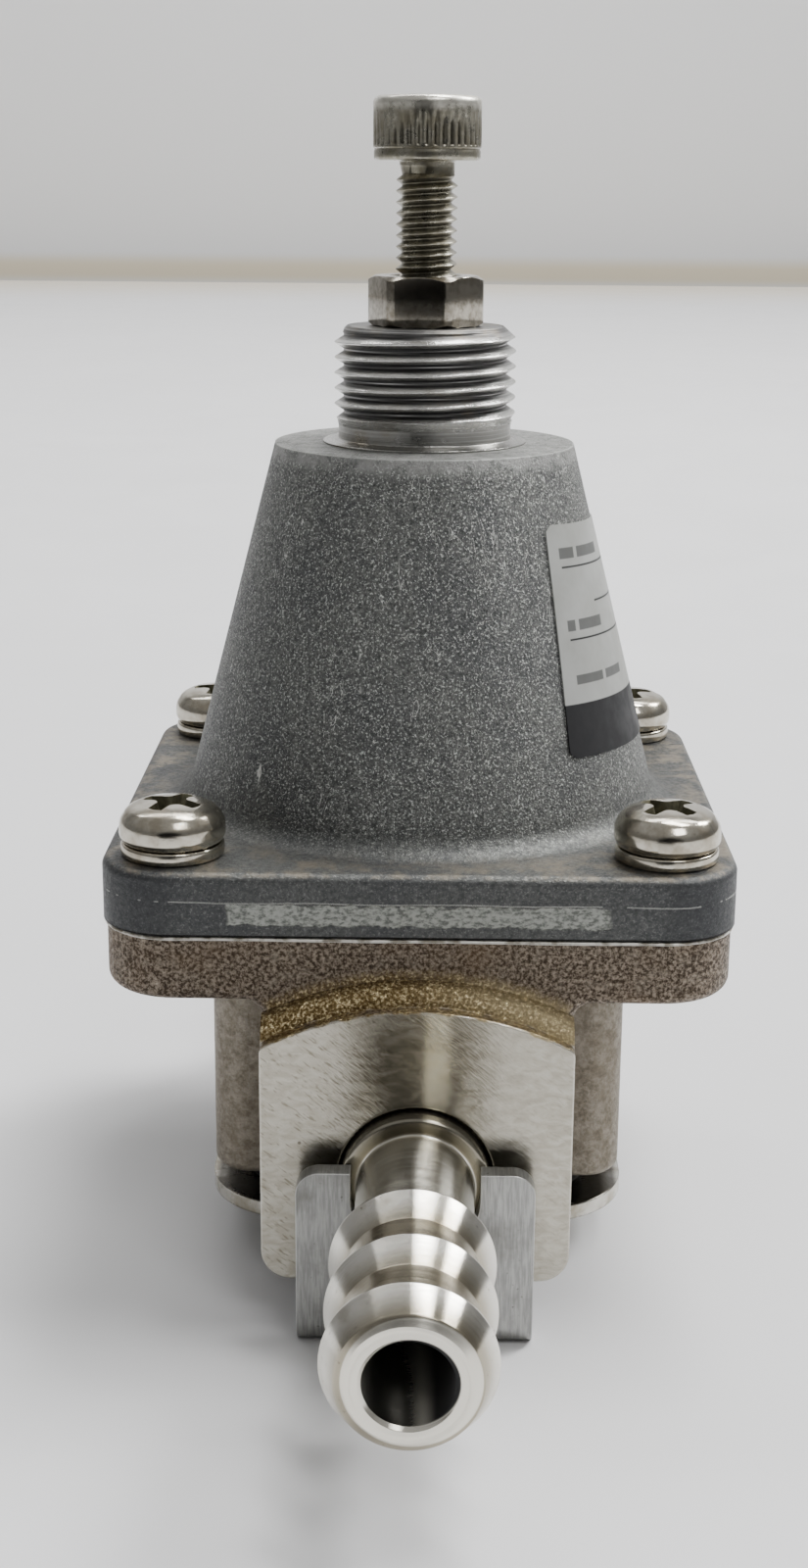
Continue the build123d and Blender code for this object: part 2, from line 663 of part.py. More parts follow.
# ---------------------------------------------------------------- hose barbs and O-rings
def barb_outline():
    """Half section of the barb: (distance along the port, radius), from the inner end out."""
    points = [
        (BARB_INNER_END, BARB_BORE_R),
        (BARB_INNER_END, BARB_SPIGOT_R - BARB_CHAMFER),
        (BARB_INNER_END + BARB_CHAMFER, BARB_SPIGOT_R),
        (GROOVE_START, BARB_SPIGOT_R),
        (GROOVE_START, GROOVE_R),
        (GROOVE_END, GROOVE_R),
        (GROOVE_END, BARB_SPIGOT_R),
        (BARB_COLLAR_END - BARB_CHAMFER, BARB_SPIGOT_R),
        (BARB_COLLAR_END, BARB_SPIGOT_R - BARB_CHAMFER),
        (BARB_COLLAR_END, BARB_SHAFT_R),
    ]
    valley = BARB_SHAFT_R
    for index in range(BARB_CRESTS):
        crest = BARB_FIRST_CREST + index * BARB_CREST_PITCH
        points.append((crest, valley))
        points.append((crest, BARB_CREST_R))
        points.append((crest + BARB_CREST_LAND, BARB_CREST_R))
        points.append((crest + BARB_CREST_LAND + BARB_RAMP, BARB_VALLEY_R))
        valley = BARB_VALLEY_R
    points.append((BARB_TIP, BARB_TIP_R))
    points.append((BARB_TIP, BARB_BORE_R))
    return points


with BuildPart() as outlet_barb:
    # On this plane the local X axis runs outwards along the port and local Y runs up
    with BuildSketch(Plane(origin=(0, 0, PORT_Z), x_dir=(0, -1, 0), z_dir=(1, 0, 0))):
        with BuildLine():
            Polyline(*barb_outline(), close=True)
        make_face()
    revolve(axis=Axis((0, 0, PORT_Z), (0, 1, 0)))
outlet_barb.part.label = "outlet_barb"

with BuildPart() as inlet_barb:
    with BuildSketch(Plane(origin=(0, 0, PORT_Z), x_dir=(0, 1, 0), z_dir=(-1, 0, 0))):
        with BuildLine():
            Polyline(*barb_outline(), close=True)
        make_face()
    revolve(axis=Axis((0, 0, PORT_Z), (0, 1, 0)))
inlet_barb.part.label = "inlet_barb"

groove_middle = (GROOVE_START + GROOVE_END) / 2
o_ring_r = GROOVE_R + O_RING_SECTION_R + O_RING_FLOAT

with BuildPart() as outlet_o_ring:
    with BuildSketch(Plane(origin=(0, 0, PORT_Z), x_dir=(0, -1, 0), z_dir=(1, 0, 0))):
        with Locations((groove_middle, o_ring_r)):
            Circle(O_RING_SECTION_R)
    revolve(axis=Axis((0, 0, PORT_Z), (0, 1, 0)))
outlet_o_ring.part.label = "outlet_o_ring"

with BuildPart() as inlet_o_ring:
    with BuildSketch(Plane(origin=(0, 0, PORT_Z), x_dir=(0, 1, 0), z_dir=(-1, 0, 0))):
        with Locations((groove_middle, o_ring_r)):
            Circle(O_RING_SECTION_R)
    revolve(axis=Axis((0, 0, PORT_Z), (0, 1, 0)))
inlet_o_ring.part.label = "inlet_o_ring"

# ---------------------------------------------------------------- retainer strap and screw
with BuildPart() as retainer_strap:
    # One strip of sheet bent up at both ends
    with BuildSketch(Plane.YZ.offset(-STRAP_W / 2)) as strap_section:
        with BuildLine():
            Polyline(
                (-FORK_OUTER, 0),
                (FORK_OUTER, 0),
                (FORK_OUTER, FORK_TOP),
                (BARB_COLLAR_END, FORK_TOP),
                (BARB_COLLAR_END, STRAP_T),
                (-BARB_COLLAR_END, STRAP_T),
                (-BARB_COLLAR_END, FORK_TOP),
                (-FORK_OUTER, FORK_TOP),
                close=True,
            )
        make_face()
        outer_bends = strap_section.vertices().group_by(Axis.Y)[0]
        fillet(outer_bends, radius=STRAP_BEND_R)
        inner_bends = [
            vertex
            for vertex in strap_section.vertices()
            if abs(abs(vertex.X) - BARB_COLLAR_END) < 0.01 and abs(vertex.Y - STRAP_T) < 0.01
        ]
        fillet(inner_bends, radius=STRAP_INNER_BEND_R)
    extrude(amount=STRAP_W)
    # Rounded outer corners of the fork legs
    leg_corners = [
        edge
        for edge in retainer_strap.edges().filter_by(Axis.Y)
        if edge.center().Z > FORK_TOP - MATCH and abs(abs(edge.center().X) - STRAP_W / 2) < MATCH
    ]
    fillet(leg_corners, radius=FORK_CORNER_R)
    # Open slot that straddles the barb's shaft
    with BuildSketch(Plane.XZ.offset(FORK_OUTER + OVERSHOOT)):
        with Locations((0, PORT_Z)):
            Circle(FORK_SLOT_R)
        with Locations((0, PORT_Z + TRIM_W / 2)):
            Rectangle(2 * FORK_SLOT_R, TRIM_W)
    extrude(amount=-2 * (FORK_OUTER + OVERSHOOT), mode=Mode.SUBTRACT)
    # Countersunk hole for the strap screw
    with BuildSketch(Plane.XY):
        Circle(STRAP_SCREW_HEAD_R)
    extrude(amount=STRAP_T, taper=STRAP_SINK_TAPER, mode=Mode.SUBTRACT)
    with BuildSketch(Plane.XY):
        Circle(STRAP_SCREW_R + STRAP_HOLE_GAP)
    extrude(amount=STRAP_T, mode=Mode.SUBTRACT)
retainer_strap.part.label = "retainer_strap"

with BuildPart() as strap_screw:
    sunk_head_r = STRAP_SCREW_HEAD_R - STRAP_HOLE_GAP
    with BuildSketch(Plane.XZ):
        with BuildLine():
            Polyline(
                (0, STRAP_SCREW_SUNK),
                (sunk_head_r, STRAP_SCREW_SUNK),
                (STRAP_SCREW_R, STRAP_SCREW_SUNK + sunk_head_r - STRAP_SCREW_R),
                (STRAP_SCREW_R, STRAP_SCREW_TIP),
                (0, STRAP_SCREW_TIP),
                close=True,
            )
        make_face()
    revolve(axis=Axis.Z)
    with BuildSketch(Plane.XY.offset(STRAP_SCREW_SUNK)):
        Rectangle(SMALL_RECESS_SPAN, SMALL_RECESS_W)
        Rectangle(SMALL_RECESS_W, SMALL_RECESS_SPAN)
    extrude(amount=SMALL_RECESS_DEPTH, mode=Mode.SUBTRACT)
strap_screw.part.label = "strap_screw"

# ---------------------------------------------------------------- label
with BuildPart() as label:
    start = radians(LABEL_START - 90)
    with BuildSketch(Plane(origin=(0, 0, 0), x_dir=(cos(start), sin(start), 0),
                           z_dir=(sin(start), -cos(start), 0))):
        with BuildLine():
            Polyline(
                (cone_radius(LABEL_BOTTOM), LABEL_BOTTOM),
                (cone_radius(LABEL_BOTTOM) + LABEL_T, LABEL_BOTTOM),
                (cone_radius(LABEL_TOP) + LABEL_T, LABEL_TOP),
                (cone_radius(LABEL_TOP), LABEL_TOP),
                close=True,
            )
        make_face()
    revolve(axis=Axis.Z, revolution_arc=LABEL_ARC)
label.part.label = "label"

# ---------------------------------------------------------------- write the pieces
os.makedirs("parts", exist_ok=True)
for piece in (
    body, bonnet, bonnet_screws, spring_washers, adjusting_screw, lock_nut,
    upper_spring_seat, range_spring, diaphragm_plate, diaphragm, diaphragm_washer,
    diaphragm_hub, valve_poppet, valve_seal, valve_spring, bottom_cover, bottom_gasket,
    cover_screws, outlet_barb, inlet_barb, outlet_o_ring, inlet_o_ring, retainer_strap,
    strap_screw, label,
):
    export_step(piece.part, f"parts/{piece.part.label}.step")
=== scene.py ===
"""Detail meshes, materials, lights and camera for a small in-line air pressure regulator."""

import math
import random

import bmesh
import bpy
from mathutils import Matrix, Vector


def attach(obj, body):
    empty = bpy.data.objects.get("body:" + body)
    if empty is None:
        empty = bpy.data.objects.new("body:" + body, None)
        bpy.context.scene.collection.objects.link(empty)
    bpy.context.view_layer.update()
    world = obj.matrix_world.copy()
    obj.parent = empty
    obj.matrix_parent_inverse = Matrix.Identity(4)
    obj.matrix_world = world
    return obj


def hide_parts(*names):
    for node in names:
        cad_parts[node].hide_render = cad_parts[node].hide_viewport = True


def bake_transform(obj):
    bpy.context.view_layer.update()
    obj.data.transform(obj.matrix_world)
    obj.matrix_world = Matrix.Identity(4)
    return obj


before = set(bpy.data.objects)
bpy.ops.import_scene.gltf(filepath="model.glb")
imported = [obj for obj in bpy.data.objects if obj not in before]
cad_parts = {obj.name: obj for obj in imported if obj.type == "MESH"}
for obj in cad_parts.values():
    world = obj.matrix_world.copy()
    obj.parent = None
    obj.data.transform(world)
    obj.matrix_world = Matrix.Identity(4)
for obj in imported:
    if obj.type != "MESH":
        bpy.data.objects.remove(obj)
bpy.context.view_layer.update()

MM = 0.001
TAU = 2 * math.pi

# --- sizes from the CAD, in mm
NECK_R = 6.0
NECK_ROOT_R = 5.38
NECK_PITCH = 1.0
NECK_TOP = 60.9
NECK_CHAMFER = 0.75
RELIEF_R = 5.72
THREAD_START = 54.5
CUT_Z = 53.32
SPOT_FACE_R = 6.75
BORE_R = 2.06
BONNET_BOTTOM = 25.3
FLANGE_TOP = 29.3
FLANGE_W = 39.9
BODY_FLANGE_W = 39.5
FLANGE_CORNER_R = 4.5
CONE_BASE_R = 16.16
CONE_TOP_R = 9.95
CONE_TOP = 53.3
SCREW_SPACING = 31.0
WASHER_T = 0.9
HEAD_UNDERSIDE = 71.3
SCREW_PITCH = 0.7
SCREW_TIP = 46.3
PORT_Z = 10.1
DIAPHRAGM_R = 14.5
DIAPHRAGM_HOLE_R = 2.02
DIAPHRAGM_T = 0.9
DIAPHRAGM_BOTTOM = 24.4
DIAPHRAGM_MOVING_R = 10.6
DIAPHRAGM_HELD_R = 12.5
CONE_SLOPE = (CONE_BASE_R - CONE_TOP_R) / (CONE_TOP - FLANGE_TOP)
BODY_TOP = 25.0
COVER_TOP = 4.25
COVER_HALF = 14.0
BARB_BORE_R = 2.5
BARB_SHAFT_R = 3.63
BARB_RIB_R = 4.85
BARB_VALLEY_R = 4.0
BARB_END = 45.5
BARB_CRESTS = (32.7, 38.0, 43.3)
SCREW_R = 2.0
SCREW_ROOT_R = 1.62
SHANK_R = 1.78
SCREW_THREAD_TOP = 70.5
HEAD_R = 3.5
HEAD_TOP = HEAD_UNDERSIDE + 4.0
HEX_KEY = 3.0
NUT_ACROSS_FLATS = 6.8
NUT_HEIGHT = 3.2
SEAM_Z = 27.5
# Radius of the tiny ring that stands for a point on the axis
POLE_R = 0.0005

# --- sizes of added detail, in mm
# A thread's profile over one pitch: (share of the pitch, depth from 0 at the root to 1)
THREAD_FORM = ((0.0, 0.0), (0.06, 0.02), (0.12, 0.12), (0.42, 0.90), (0.47, 0.985),
               (0.5, 1.0), (0.53, 0.985), (0.58, 0.90), (0.88, 0.12), (0.94, 0.02))
# Angle at which the neck's thread starts, in radians
NECK_START = -2.6
# Turned rings at the neck's foot, as (radius, height)
SPOT_FACE_RINGS = ((5.95, 53.5), (6.10, 53.47), (6.16, 53.43), (6.22, 53.47), (6.40, 53.47),
                   (6.46, 53.43), (6.52, 53.46))
DIAPHRAGM_SECTORS = 12
DIAPHRAGM_SLIT = 0.01
# Where the column, the port faces and the bright arch of the body begin and end
COLUMN_TOP = 20.95
COLUMN_HALF = 14.2
PORT_FACE_Y = 22.0
PORT_BLOCK_HALF = 9.9
BLEND_R = 20.15
BLEND_CENTRE_Z = 1.0
# The strip ground on the front of the bonnet's flange
GROUND_LOW = 26.0
GROUND_HIGH = 27.45
GROUND_HALF = 11.9
KNURL_RIDGES = 40
KNURL_DEPTH = 0.15
# Heights of the rings that carry the knurl
KNURL_LEVELS = (74.55, 74.3, 74.0, 73.7, 73.4, 73.1, 72.8, 72.4, 72.3, 72.22, 72.15)
# Position of each flange screw in half spacings, its turn, and its washer's turn, in degrees
FLANGE_SCREWS = ((-1, -1, 62, 75), (1, -1, 45, 118), (1, 1, 20, 200), (-1, 1, 78, 160))
NUT_CORNER_R = 3.80
NUT_TURN = -7.5
BARB_COLLAR_END = 23.22
# The loose barbs lean and droop about a point in the port, in degrees
BARB_SEAT_Y = 19.0
BARB_LEAN = 0.35
BARB_DROOP = 0.25
# The label's arc and the bearing of its left edge at the top and foot, in degrees
LABEL_ARC = 85.0
LABEL_LEFT_TOP = 44.1
LABEL_LEFT_LOW = 40.2
# Its foot, height, askew fit, corners and thickness
LABEL_LOW = 34.5
LABEL_H = 14.75
LABEL_STRETCH = 0.98
LABEL_TILT = 0.6
LABEL_CORNER = 0.5
LABEL_T = 0.09
# Its print: the band's height, rules as (left, right, height), bars as (left, right, low, high)
LABEL_BAND = 3.4
LABEL_RULE_T = 0.12
LABEL_RULES = ((1.1, 20.0, 12.0), (4.6, 20.0, 9.6), (1.1, 20.0, 7.4))
LABEL_BARS = ((1.0, 2.6, 12.6, 13.3), (3.0, 6.4, 12.6, 13.3), (1.0, 1.8, 8.0, 8.7),
              (2.2, 5.2, 8.0, 8.7), (1.3, 4.4, 4.6, 5.2), (4.8, 7.6, 4.6, 5.2))

# --- view and light
# Focal length, distance and height in mm; turns in degrees
CAMERA_FOCAL = 49.363
CAMERA_DISTANCE = 144.208
CAMERA_HEIGHT = 70.358
CAMERA_PAN = -0.47
CAMERA_PITCH = 15.802
CAMERA_ROLL = 0.446
CAMERA_YAW = -0.213
# Brightness of the room in front, low at the sides and overhead
WORLD_FRONT = 0.06
WORLD_SIDE = 0.23
WORLD_TOP = 0.45
# Depth and bearing of the painted shadow in front of the table
FLOOR_NEAR_SHADE = 0.96
FLOOR_SHADE_BEARING = -0.12
# name, place, target, size in metres and power in watts
LIGHTS = (
    ("overhead", (0.24, 0.2, 1.0), (0, 0, 0.03), (0.6, 0.18), 9.2),
    ("side", (0.74, 0.36, 0.72), (0, 0, 0.03), (0.3, 0.3), 11.0),
    ("front_fill", (0.34, -0.62, 0.85), (0, 0, 0.03), (0.36, 0.3), 2.6),
    ("wall_wash", (0, 0.7, 1.2), (0, 1.4, 0.0), (2.0, 0.3), 16.0),
)


# --- mesh helpers
def add_object(name, data):
    """An object of the scene that holds the given mesh, light or camera."""
    obj = bpy.data.objects.new(name, data)
    bpy.context.scene.collection.objects.link(obj)
    return obj


def new_object(name, verts, faces, sharp=32.0):
    """A smooth-shaded mesh object from points in mm, with creases sharper than the angle kept."""
    mesh = bpy.data.meshes.new(name)
    mesh.from_pydata([tuple(c * MM for c in v) for v in verts], [], faces)
    tidy_mesh(mesh, sharp)
    return add_object(name, mesh)


def tidy_mesh(mesh, sharp=32.0, merge=1e-7):
    """Merges doubles, makes the normals point outwards and sets smooth shading."""
    stored = mesh.attributes.get("custom_normal")
    if stored:
        mesh.attributes.remove(stored)
    bm = bmesh.new()
    bm.from_mesh(mesh)
    bmesh.ops.remove_doubles(bm, verts=bm.verts, dist=merge)
    bmesh.ops.dissolve_degenerate(bm, edges=bm.edges, dist=merge)
    bmesh.ops.recalc_face_normals(bm, faces=bm.faces)
    bm.to_mesh(mesh)
    bm.free()
    mesh.polygons.foreach_set("use_smooth", [True] * len(mesh.polygons))
    mesh.set_sharp_from_angle(angle=math.radians(sharp))
    mesh.update()


def rounded(points, steps=4):
    """Points (r, z) or (r, z, radius): corners that have a radius become short arcs."""
    out = []
    count = len(points)
    for index, point in enumerate(points):
        if len(point) == 2:
            out.append(point)
            continue
        here = Vector(point[:2])
        before = Vector(points[index - 1][:2])
        after = Vector(points[(index + 1) % count][:2])
        to_before = (before - here).normalized()
        to_after = (after - here).normalized()
        half = to_before.angle(to_after) / 2
        reach = min(point[2] / math.tan(half), (before - here).length * 0.49,
                    (after - here).length * 0.49)
        start = here + to_before * reach
        end = here + to_after * reach
        for step in range(steps + 1):
            t = step / steps
            curve = start * (1 - t) ** 2 + here * 2 * t * (1 - t) + end * t ** 2
            out.append((curve.x, curve.y))
    return out


def ring_grid(rows, segments):
    """Faces between closed rings of equal length, given as lists of points."""
    verts = [p for row in rows for p in row]
    faces = []
    for k in range(len(rows) - 1):
        for i in range(segments):
            j = (i + 1) % segments
            faces.append((k * segments + i, k * segments + j,
                          (k + 1) * segments + j, (k + 1) * segments + i))
    return verts, faces


def ring(radius, z, segments):
    """A closed ring; radius and z are numbers or functions of the angle."""
    points = []
    for i in range(segments):
        a = TAU * i / segments
        r = radius(a) if callable(radius) else radius
        h = z(a) if callable(z) else z
        points.append((r * math.cos(a), r * math.sin(a), h))
    return points


def lathe(name, profile, segments, sharp):
    """A turned solid about Z from a closed outline of (r, z) points."""
    rows = [ring(r, z, segments) for r, z in profile]
    rows.append(rows[0])
    verts, faces = ring_grid(rows, segments)
    return new_object(name, verts, faces, sharp)


def slab_faces(rows, columns):
    """Faces of a two-layer sheet of rows by columns cells, closed round its rim."""
    row = columns + 1
    size = row * (rows + 1)
    faces = []
    for j in range(rows):
        for i in range(columns):
            k = j * row + i
            faces.append((k, k + 1, k + row + 1, k + row))
            faces.append((size + k, size + k + row, size + k + row + 1, size + k + 1))
    rim = list(range(row)) + [j * row + columns for j in range(1, rows + 1)]
    rim += [rows * row + i for i in range(columns - 1, -1, -1)]
    rim += [j * row for j in range(rows - 1, 0, -1)]
    for k, after in zip(rim, rim[1:] + rim[:1]):
        faces.append((k, size + k, size + after, after))
    return faces


def hexagon_radius(across_flats, turn, trim):
    """Radius of a hexagon at each angle, its corners trimmed to a circle."""
    def radius(a):
        off = (a - turn) % (TAU / 6) - TAU / 12
        return min(across_flats / 2 / math.cos(off), trim)
    return radius


def smoothstep(value, low, high):
    """Smooth rise from 0 to 1 as value goes from low to high."""
    t = min(1.0, max(0.0, (value - low) / (high - low)))
    return t * t * (3 - 2 * t)


def depth_at(form, phase):
    """Thread depth at a share of the pitch."""
    phase %= 1.0
    points = list(form) + [(form[0][0] + 1.0, form[0][1])]
    if phase < points[0][0]:
        phase += 1.0
    for (s0, d0), (s1, d1) in zip(points, points[1:]):
        if s0 <= phase <= s1:
            return d0 + (d1 - d0) * (phase - s0) / max(s1 - s0, 1e-9)
    return points[0][1]


def threaded(name, below, above, low, high, pitch, root, crest, limit, segments=144,
             start=0.0, sharp=40.0):
    """A closed turned solid whose side between low and high is a real right-hand thread.

    below and above are the (r, z) profiles that close the solid under and over the thread,
    and limit(z) gives (largest radius, share of the full depth) for chamfers and run-outs.
    """
    verts = []
    faces = []
    turns = int((high - low) / pitch) + 4
    per = len(THREAD_FORM)
    column = turns * per
    base = low - 2 * pitch
    for i in range(segments):
        lead = i / segments
        for turn in range(turns):
            for share, _ in THREAD_FORM:
                z = min(max(base + (turn + share + lead) * pitch, low), high)
                phase = (z - base) / pitch - lead
                depth = depth_at(THREAD_FORM, phase)
                top, part = limit(z)
                r = min(root + (crest - root) * (depth * part + (1 - part)), top)
                a = TAU * i / segments + start
                verts.append((r * math.cos(a), r * math.sin(a), z))
    for i in range(segments):
        shift = per if i == segments - 1 else 0
        j = (i + 1) % segments
        for k in range(column - 1 - shift):
            faces.append((i * column + k, j * column + k + shift,
                          j * column + k + 1 + shift, i * column + k + 1))
    low_ring = [verts[i * column] for i in range(segments)]
    high_ring = [verts[i * column + column - 1] for i in range(segments)]
    for edge_ring, profile in ((low_ring, below), (high_ring, above)):
        rows = [edge_ring]
        for r, z in profile:
            rows.append([(r * math.cos(TAU * i / segments + start),
                          r * math.sin(TAU * i / segments + start), z)
                         for i in range(segments)])
        more_verts, more_faces = ring_grid(rows, segments)
        offset = len(verts)
        verts += more_verts
        faces += [tuple(offset + v for v in face) for face in more_faces]
    return new_object(name, verts, faces, sharp)


def cad_copy(node, name, sharp=28.0):
    """A copy of a CAD node's mesh as a new object that stands for it."""
    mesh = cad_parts[node].data.copy()
    mesh.name = name
    obj = add_object(name, mesh)
    tidy_mesh(mesh, sharp, 2e-7)
    flat_normals(obj)
    return obj


def flat_normals(obj):
    """Lets large flat faces rule the shading of the small rounds beside them."""
    modifier = obj.modifiers.new("flat_normals", "WEIGHTED_NORMAL")
    modifier.weight = 100
    modifier.keep_sharp = True


def join(name, objects):
    """One object from several."""
    bm = bmesh.new()
    for obj in objects:
        part = obj.data.copy()
        part.transform(obj.matrix_world)
        bm.from_mesh(part)
        bpy.data.meshes.remove(part)
    mesh = bpy.data.meshes.new(name)
    bm.to_mesh(mesh)
    bm.free()
    sharp = [edge.use_edge_sharp for edge in mesh.edges]
    for obj in objects:
        old = obj.data
        bpy.data.objects.remove(obj)
        if old.users == 0:
            bpy.data.meshes.remove(old)
    mesh.polygons.foreach_set("use_smooth", [True] * len(mesh.polygons))
    mesh.edges.foreach_set("use_edge_sharp", sharp)
    return add_object(name, mesh)


def place(obj, matrix):
    """Moves an object's mesh, leaving the object at the origin."""
    obj.data.transform(matrix)
    return obj


def add_piece(obj, body, slot, material, *nodes, inside=None):
    """Rides the piece on a body, gives it its material, and hides what it stands for; slot is not
    used.

    inside is a second material, for the faces whose material index is 1.
    """
    indices = [polygon.material_index for polygon in obj.data.polygons]
    obj.data.materials.clear()
    obj.data.materials.append(material)
    if inside:
        obj.data.materials.append(inside)
        obj.data.polygons.foreach_set("material_index", indices)
    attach(obj, body)
    if nodes:
        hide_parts(*nodes)
    return obj


# --- material helpers
def srgb(r, g, b):
    """Linear colour of an 8-bit sRGB one."""
    out = []
    for value in (r, g, b):
        c = value / 255
        out.append(c / 12.92 if c <= 0.04045 else ((c + 0.055) / 1.055) ** 2.4)
    return (*out, 1.0)


class Surface:
    """A procedural material being put together, with short calls for its nodes."""

    def __init__(self, name, colour, metallic=1.0, roughness=0.3):
        self.material = bpy.data.materials.new(name)
        self.material.use_nodes = True
        self.tree = self.material.node_tree
        self.shader = self.tree.nodes["Principled BSDF"]
        self.shader.inputs["Base Color"].default_value = srgb(*colour)
        self.shader.inputs["Metallic"].default_value = metallic
        self.shader.inputs["Roughness"].default_value = roughness
        self.coords = self.put("ShaderNodeTexCoord").outputs["Object"]
        in_mm = self.put("ShaderNodeVectorMath", {0: self.coords, "Scale": 1 / MM},
                         operation="SCALE").outputs[0]
        self.x, self.y, self.z = self.put("ShaderNodeSeparateXYZ", {0: in_mm}).outputs

    def put(self, kind, inputs=None, **settings):
        """Adds a node; inputs are sockets to link from or plain values."""
        node = self.tree.nodes.new(kind)
        for key, value in settings.items():
            setattr(node, key, value)
        for key, value in (inputs or {}).items():
            if isinstance(value, bpy.types.NodeSocket):
                self.tree.links.new(value, node.inputs[key])
            else:
                node.inputs[key].default_value = value
        return node

    def feed(self, socket, value):
        """Links a value into one of the shader's sockets."""
        self.tree.links.new(value, self.shader.inputs[socket])

    def math(self, operation, a, b=0.0, clamp=False):
        return self.put("ShaderNodeMath", {0: a, 1: b}, operation=operation,
                        use_clamp=clamp).outputs[0]

    def times(self, a, b):
        return self.math("MULTIPLY", a, b)

    def plus(self, a, b, clamp=False):
        return self.math("ADD", a, b, clamp)

    def minus(self, a, b):
        return self.math("SUBTRACT", a, b)

    def size_of(self, value):
        """The value without its sign."""
        return self.math("ABSOLUTE", value)

    def noise(self, per_mm, detail=3.0, rough=0.55, vector=None, distortion=0.0):
        return self.put("ShaderNodeTexNoise", {
            "Vector": vector or self.coords, "Scale": per_mm / MM, "Detail": detail,
            "Roughness": rough, "Distortion": distortion}).outputs[0]

    def cells(self, per_mm):
        """Distance to the nearest of scattered points."""
        return self.put("ShaderNodeTexVoronoi", {
            "Vector": self.coords, "Scale": per_mm / MM, "Randomness": 1.0}).outputs["Distance"]

    def stretched(self, sx, sy, sz):
        """Coordinates scaled along each axis, for grain that runs one way."""
        return self.put("ShaderNodeMapping", {0: self.coords, "Scale": (sx, sy, sz)}).outputs[0]

    def step(self, value, low, high, to_low=0.0, to_high=1.0):
        """Smooth rise from to_low to to_high as value goes from low to high."""
        return self.put("ShaderNodeMapRange", {
            "Value": value, "From Min": low, "From Max": high, "To Min": to_low,
            "To Max": to_high}, interpolation_type="SMOOTHSTEP").outputs[0]

    def mix(self, factor, a, b):
        """Blends two colours, each a socket or an 8-bit sRGB triple."""
        node = self.put("ShaderNodeMix", data_type="RGBA")
        for index, value in ((0, factor), (6, a), (7, b)):
            if isinstance(value, bpy.types.NodeSocket):
                self.tree.links.new(value, node.inputs[index])
            else:
                value = srgb(*value) if isinstance(value, tuple) else value
                node.inputs[index].default_value = value
        return node.outputs[2]

    def mix_value(self, factor, a, b):
        node = self.put("ShaderNodeMix", {0: factor, 2: a, 3: b}, data_type="FLOAT")
        return node.outputs[0]

    def distance(self, a, b):
        """Length of the vector (a, b)."""
        flat = self.put("ShaderNodeCombineXYZ", {0: a, 1: b}).outputs[0]
        return self.put("ShaderNodeVectorMath", {0: flat}, operation="LENGTH").outputs["Value"]

    def edges(self, reach_mm=0.15, low=0.02, high=0.25):
        """1 on edges and 0 on flats, from how far a bevelled normal leans from the real one."""
        bevel = self.soft_normal(reach_mm)
        normal = self.put("ShaderNodeNewGeometry").outputs["Normal"]
        lean = self.put("ShaderNodeVectorMath", {0: bevel, 1: normal},
                        operation="DOT_PRODUCT").outputs["Value"]
        return self.step(self.minus(1.0, lean), low, high)

    def bump(self, height, mm, strength=1.0, normal=None):
        inputs = {"Height": height, "Distance": mm * MM, "Strength": strength}
        if normal is not None:
            inputs["Normal"] = normal
        return self.put("ShaderNodeBump", inputs).outputs[0]

    def soft_normal(self, reach_mm):
        """The surface's normal with its edges rounded over."""
        return self.put("ShaderNodeBevel", {"Radius": reach_mm * MM}, samples=6).outputs[0]

    def done(self, colour, roughness, normal):
        """Feeds the three main sockets and gives the finished material."""
        self.feed("Base Color", colour)
        self.feed("Roughness", roughness)
        self.feed("Normal", normal)
        return self.material


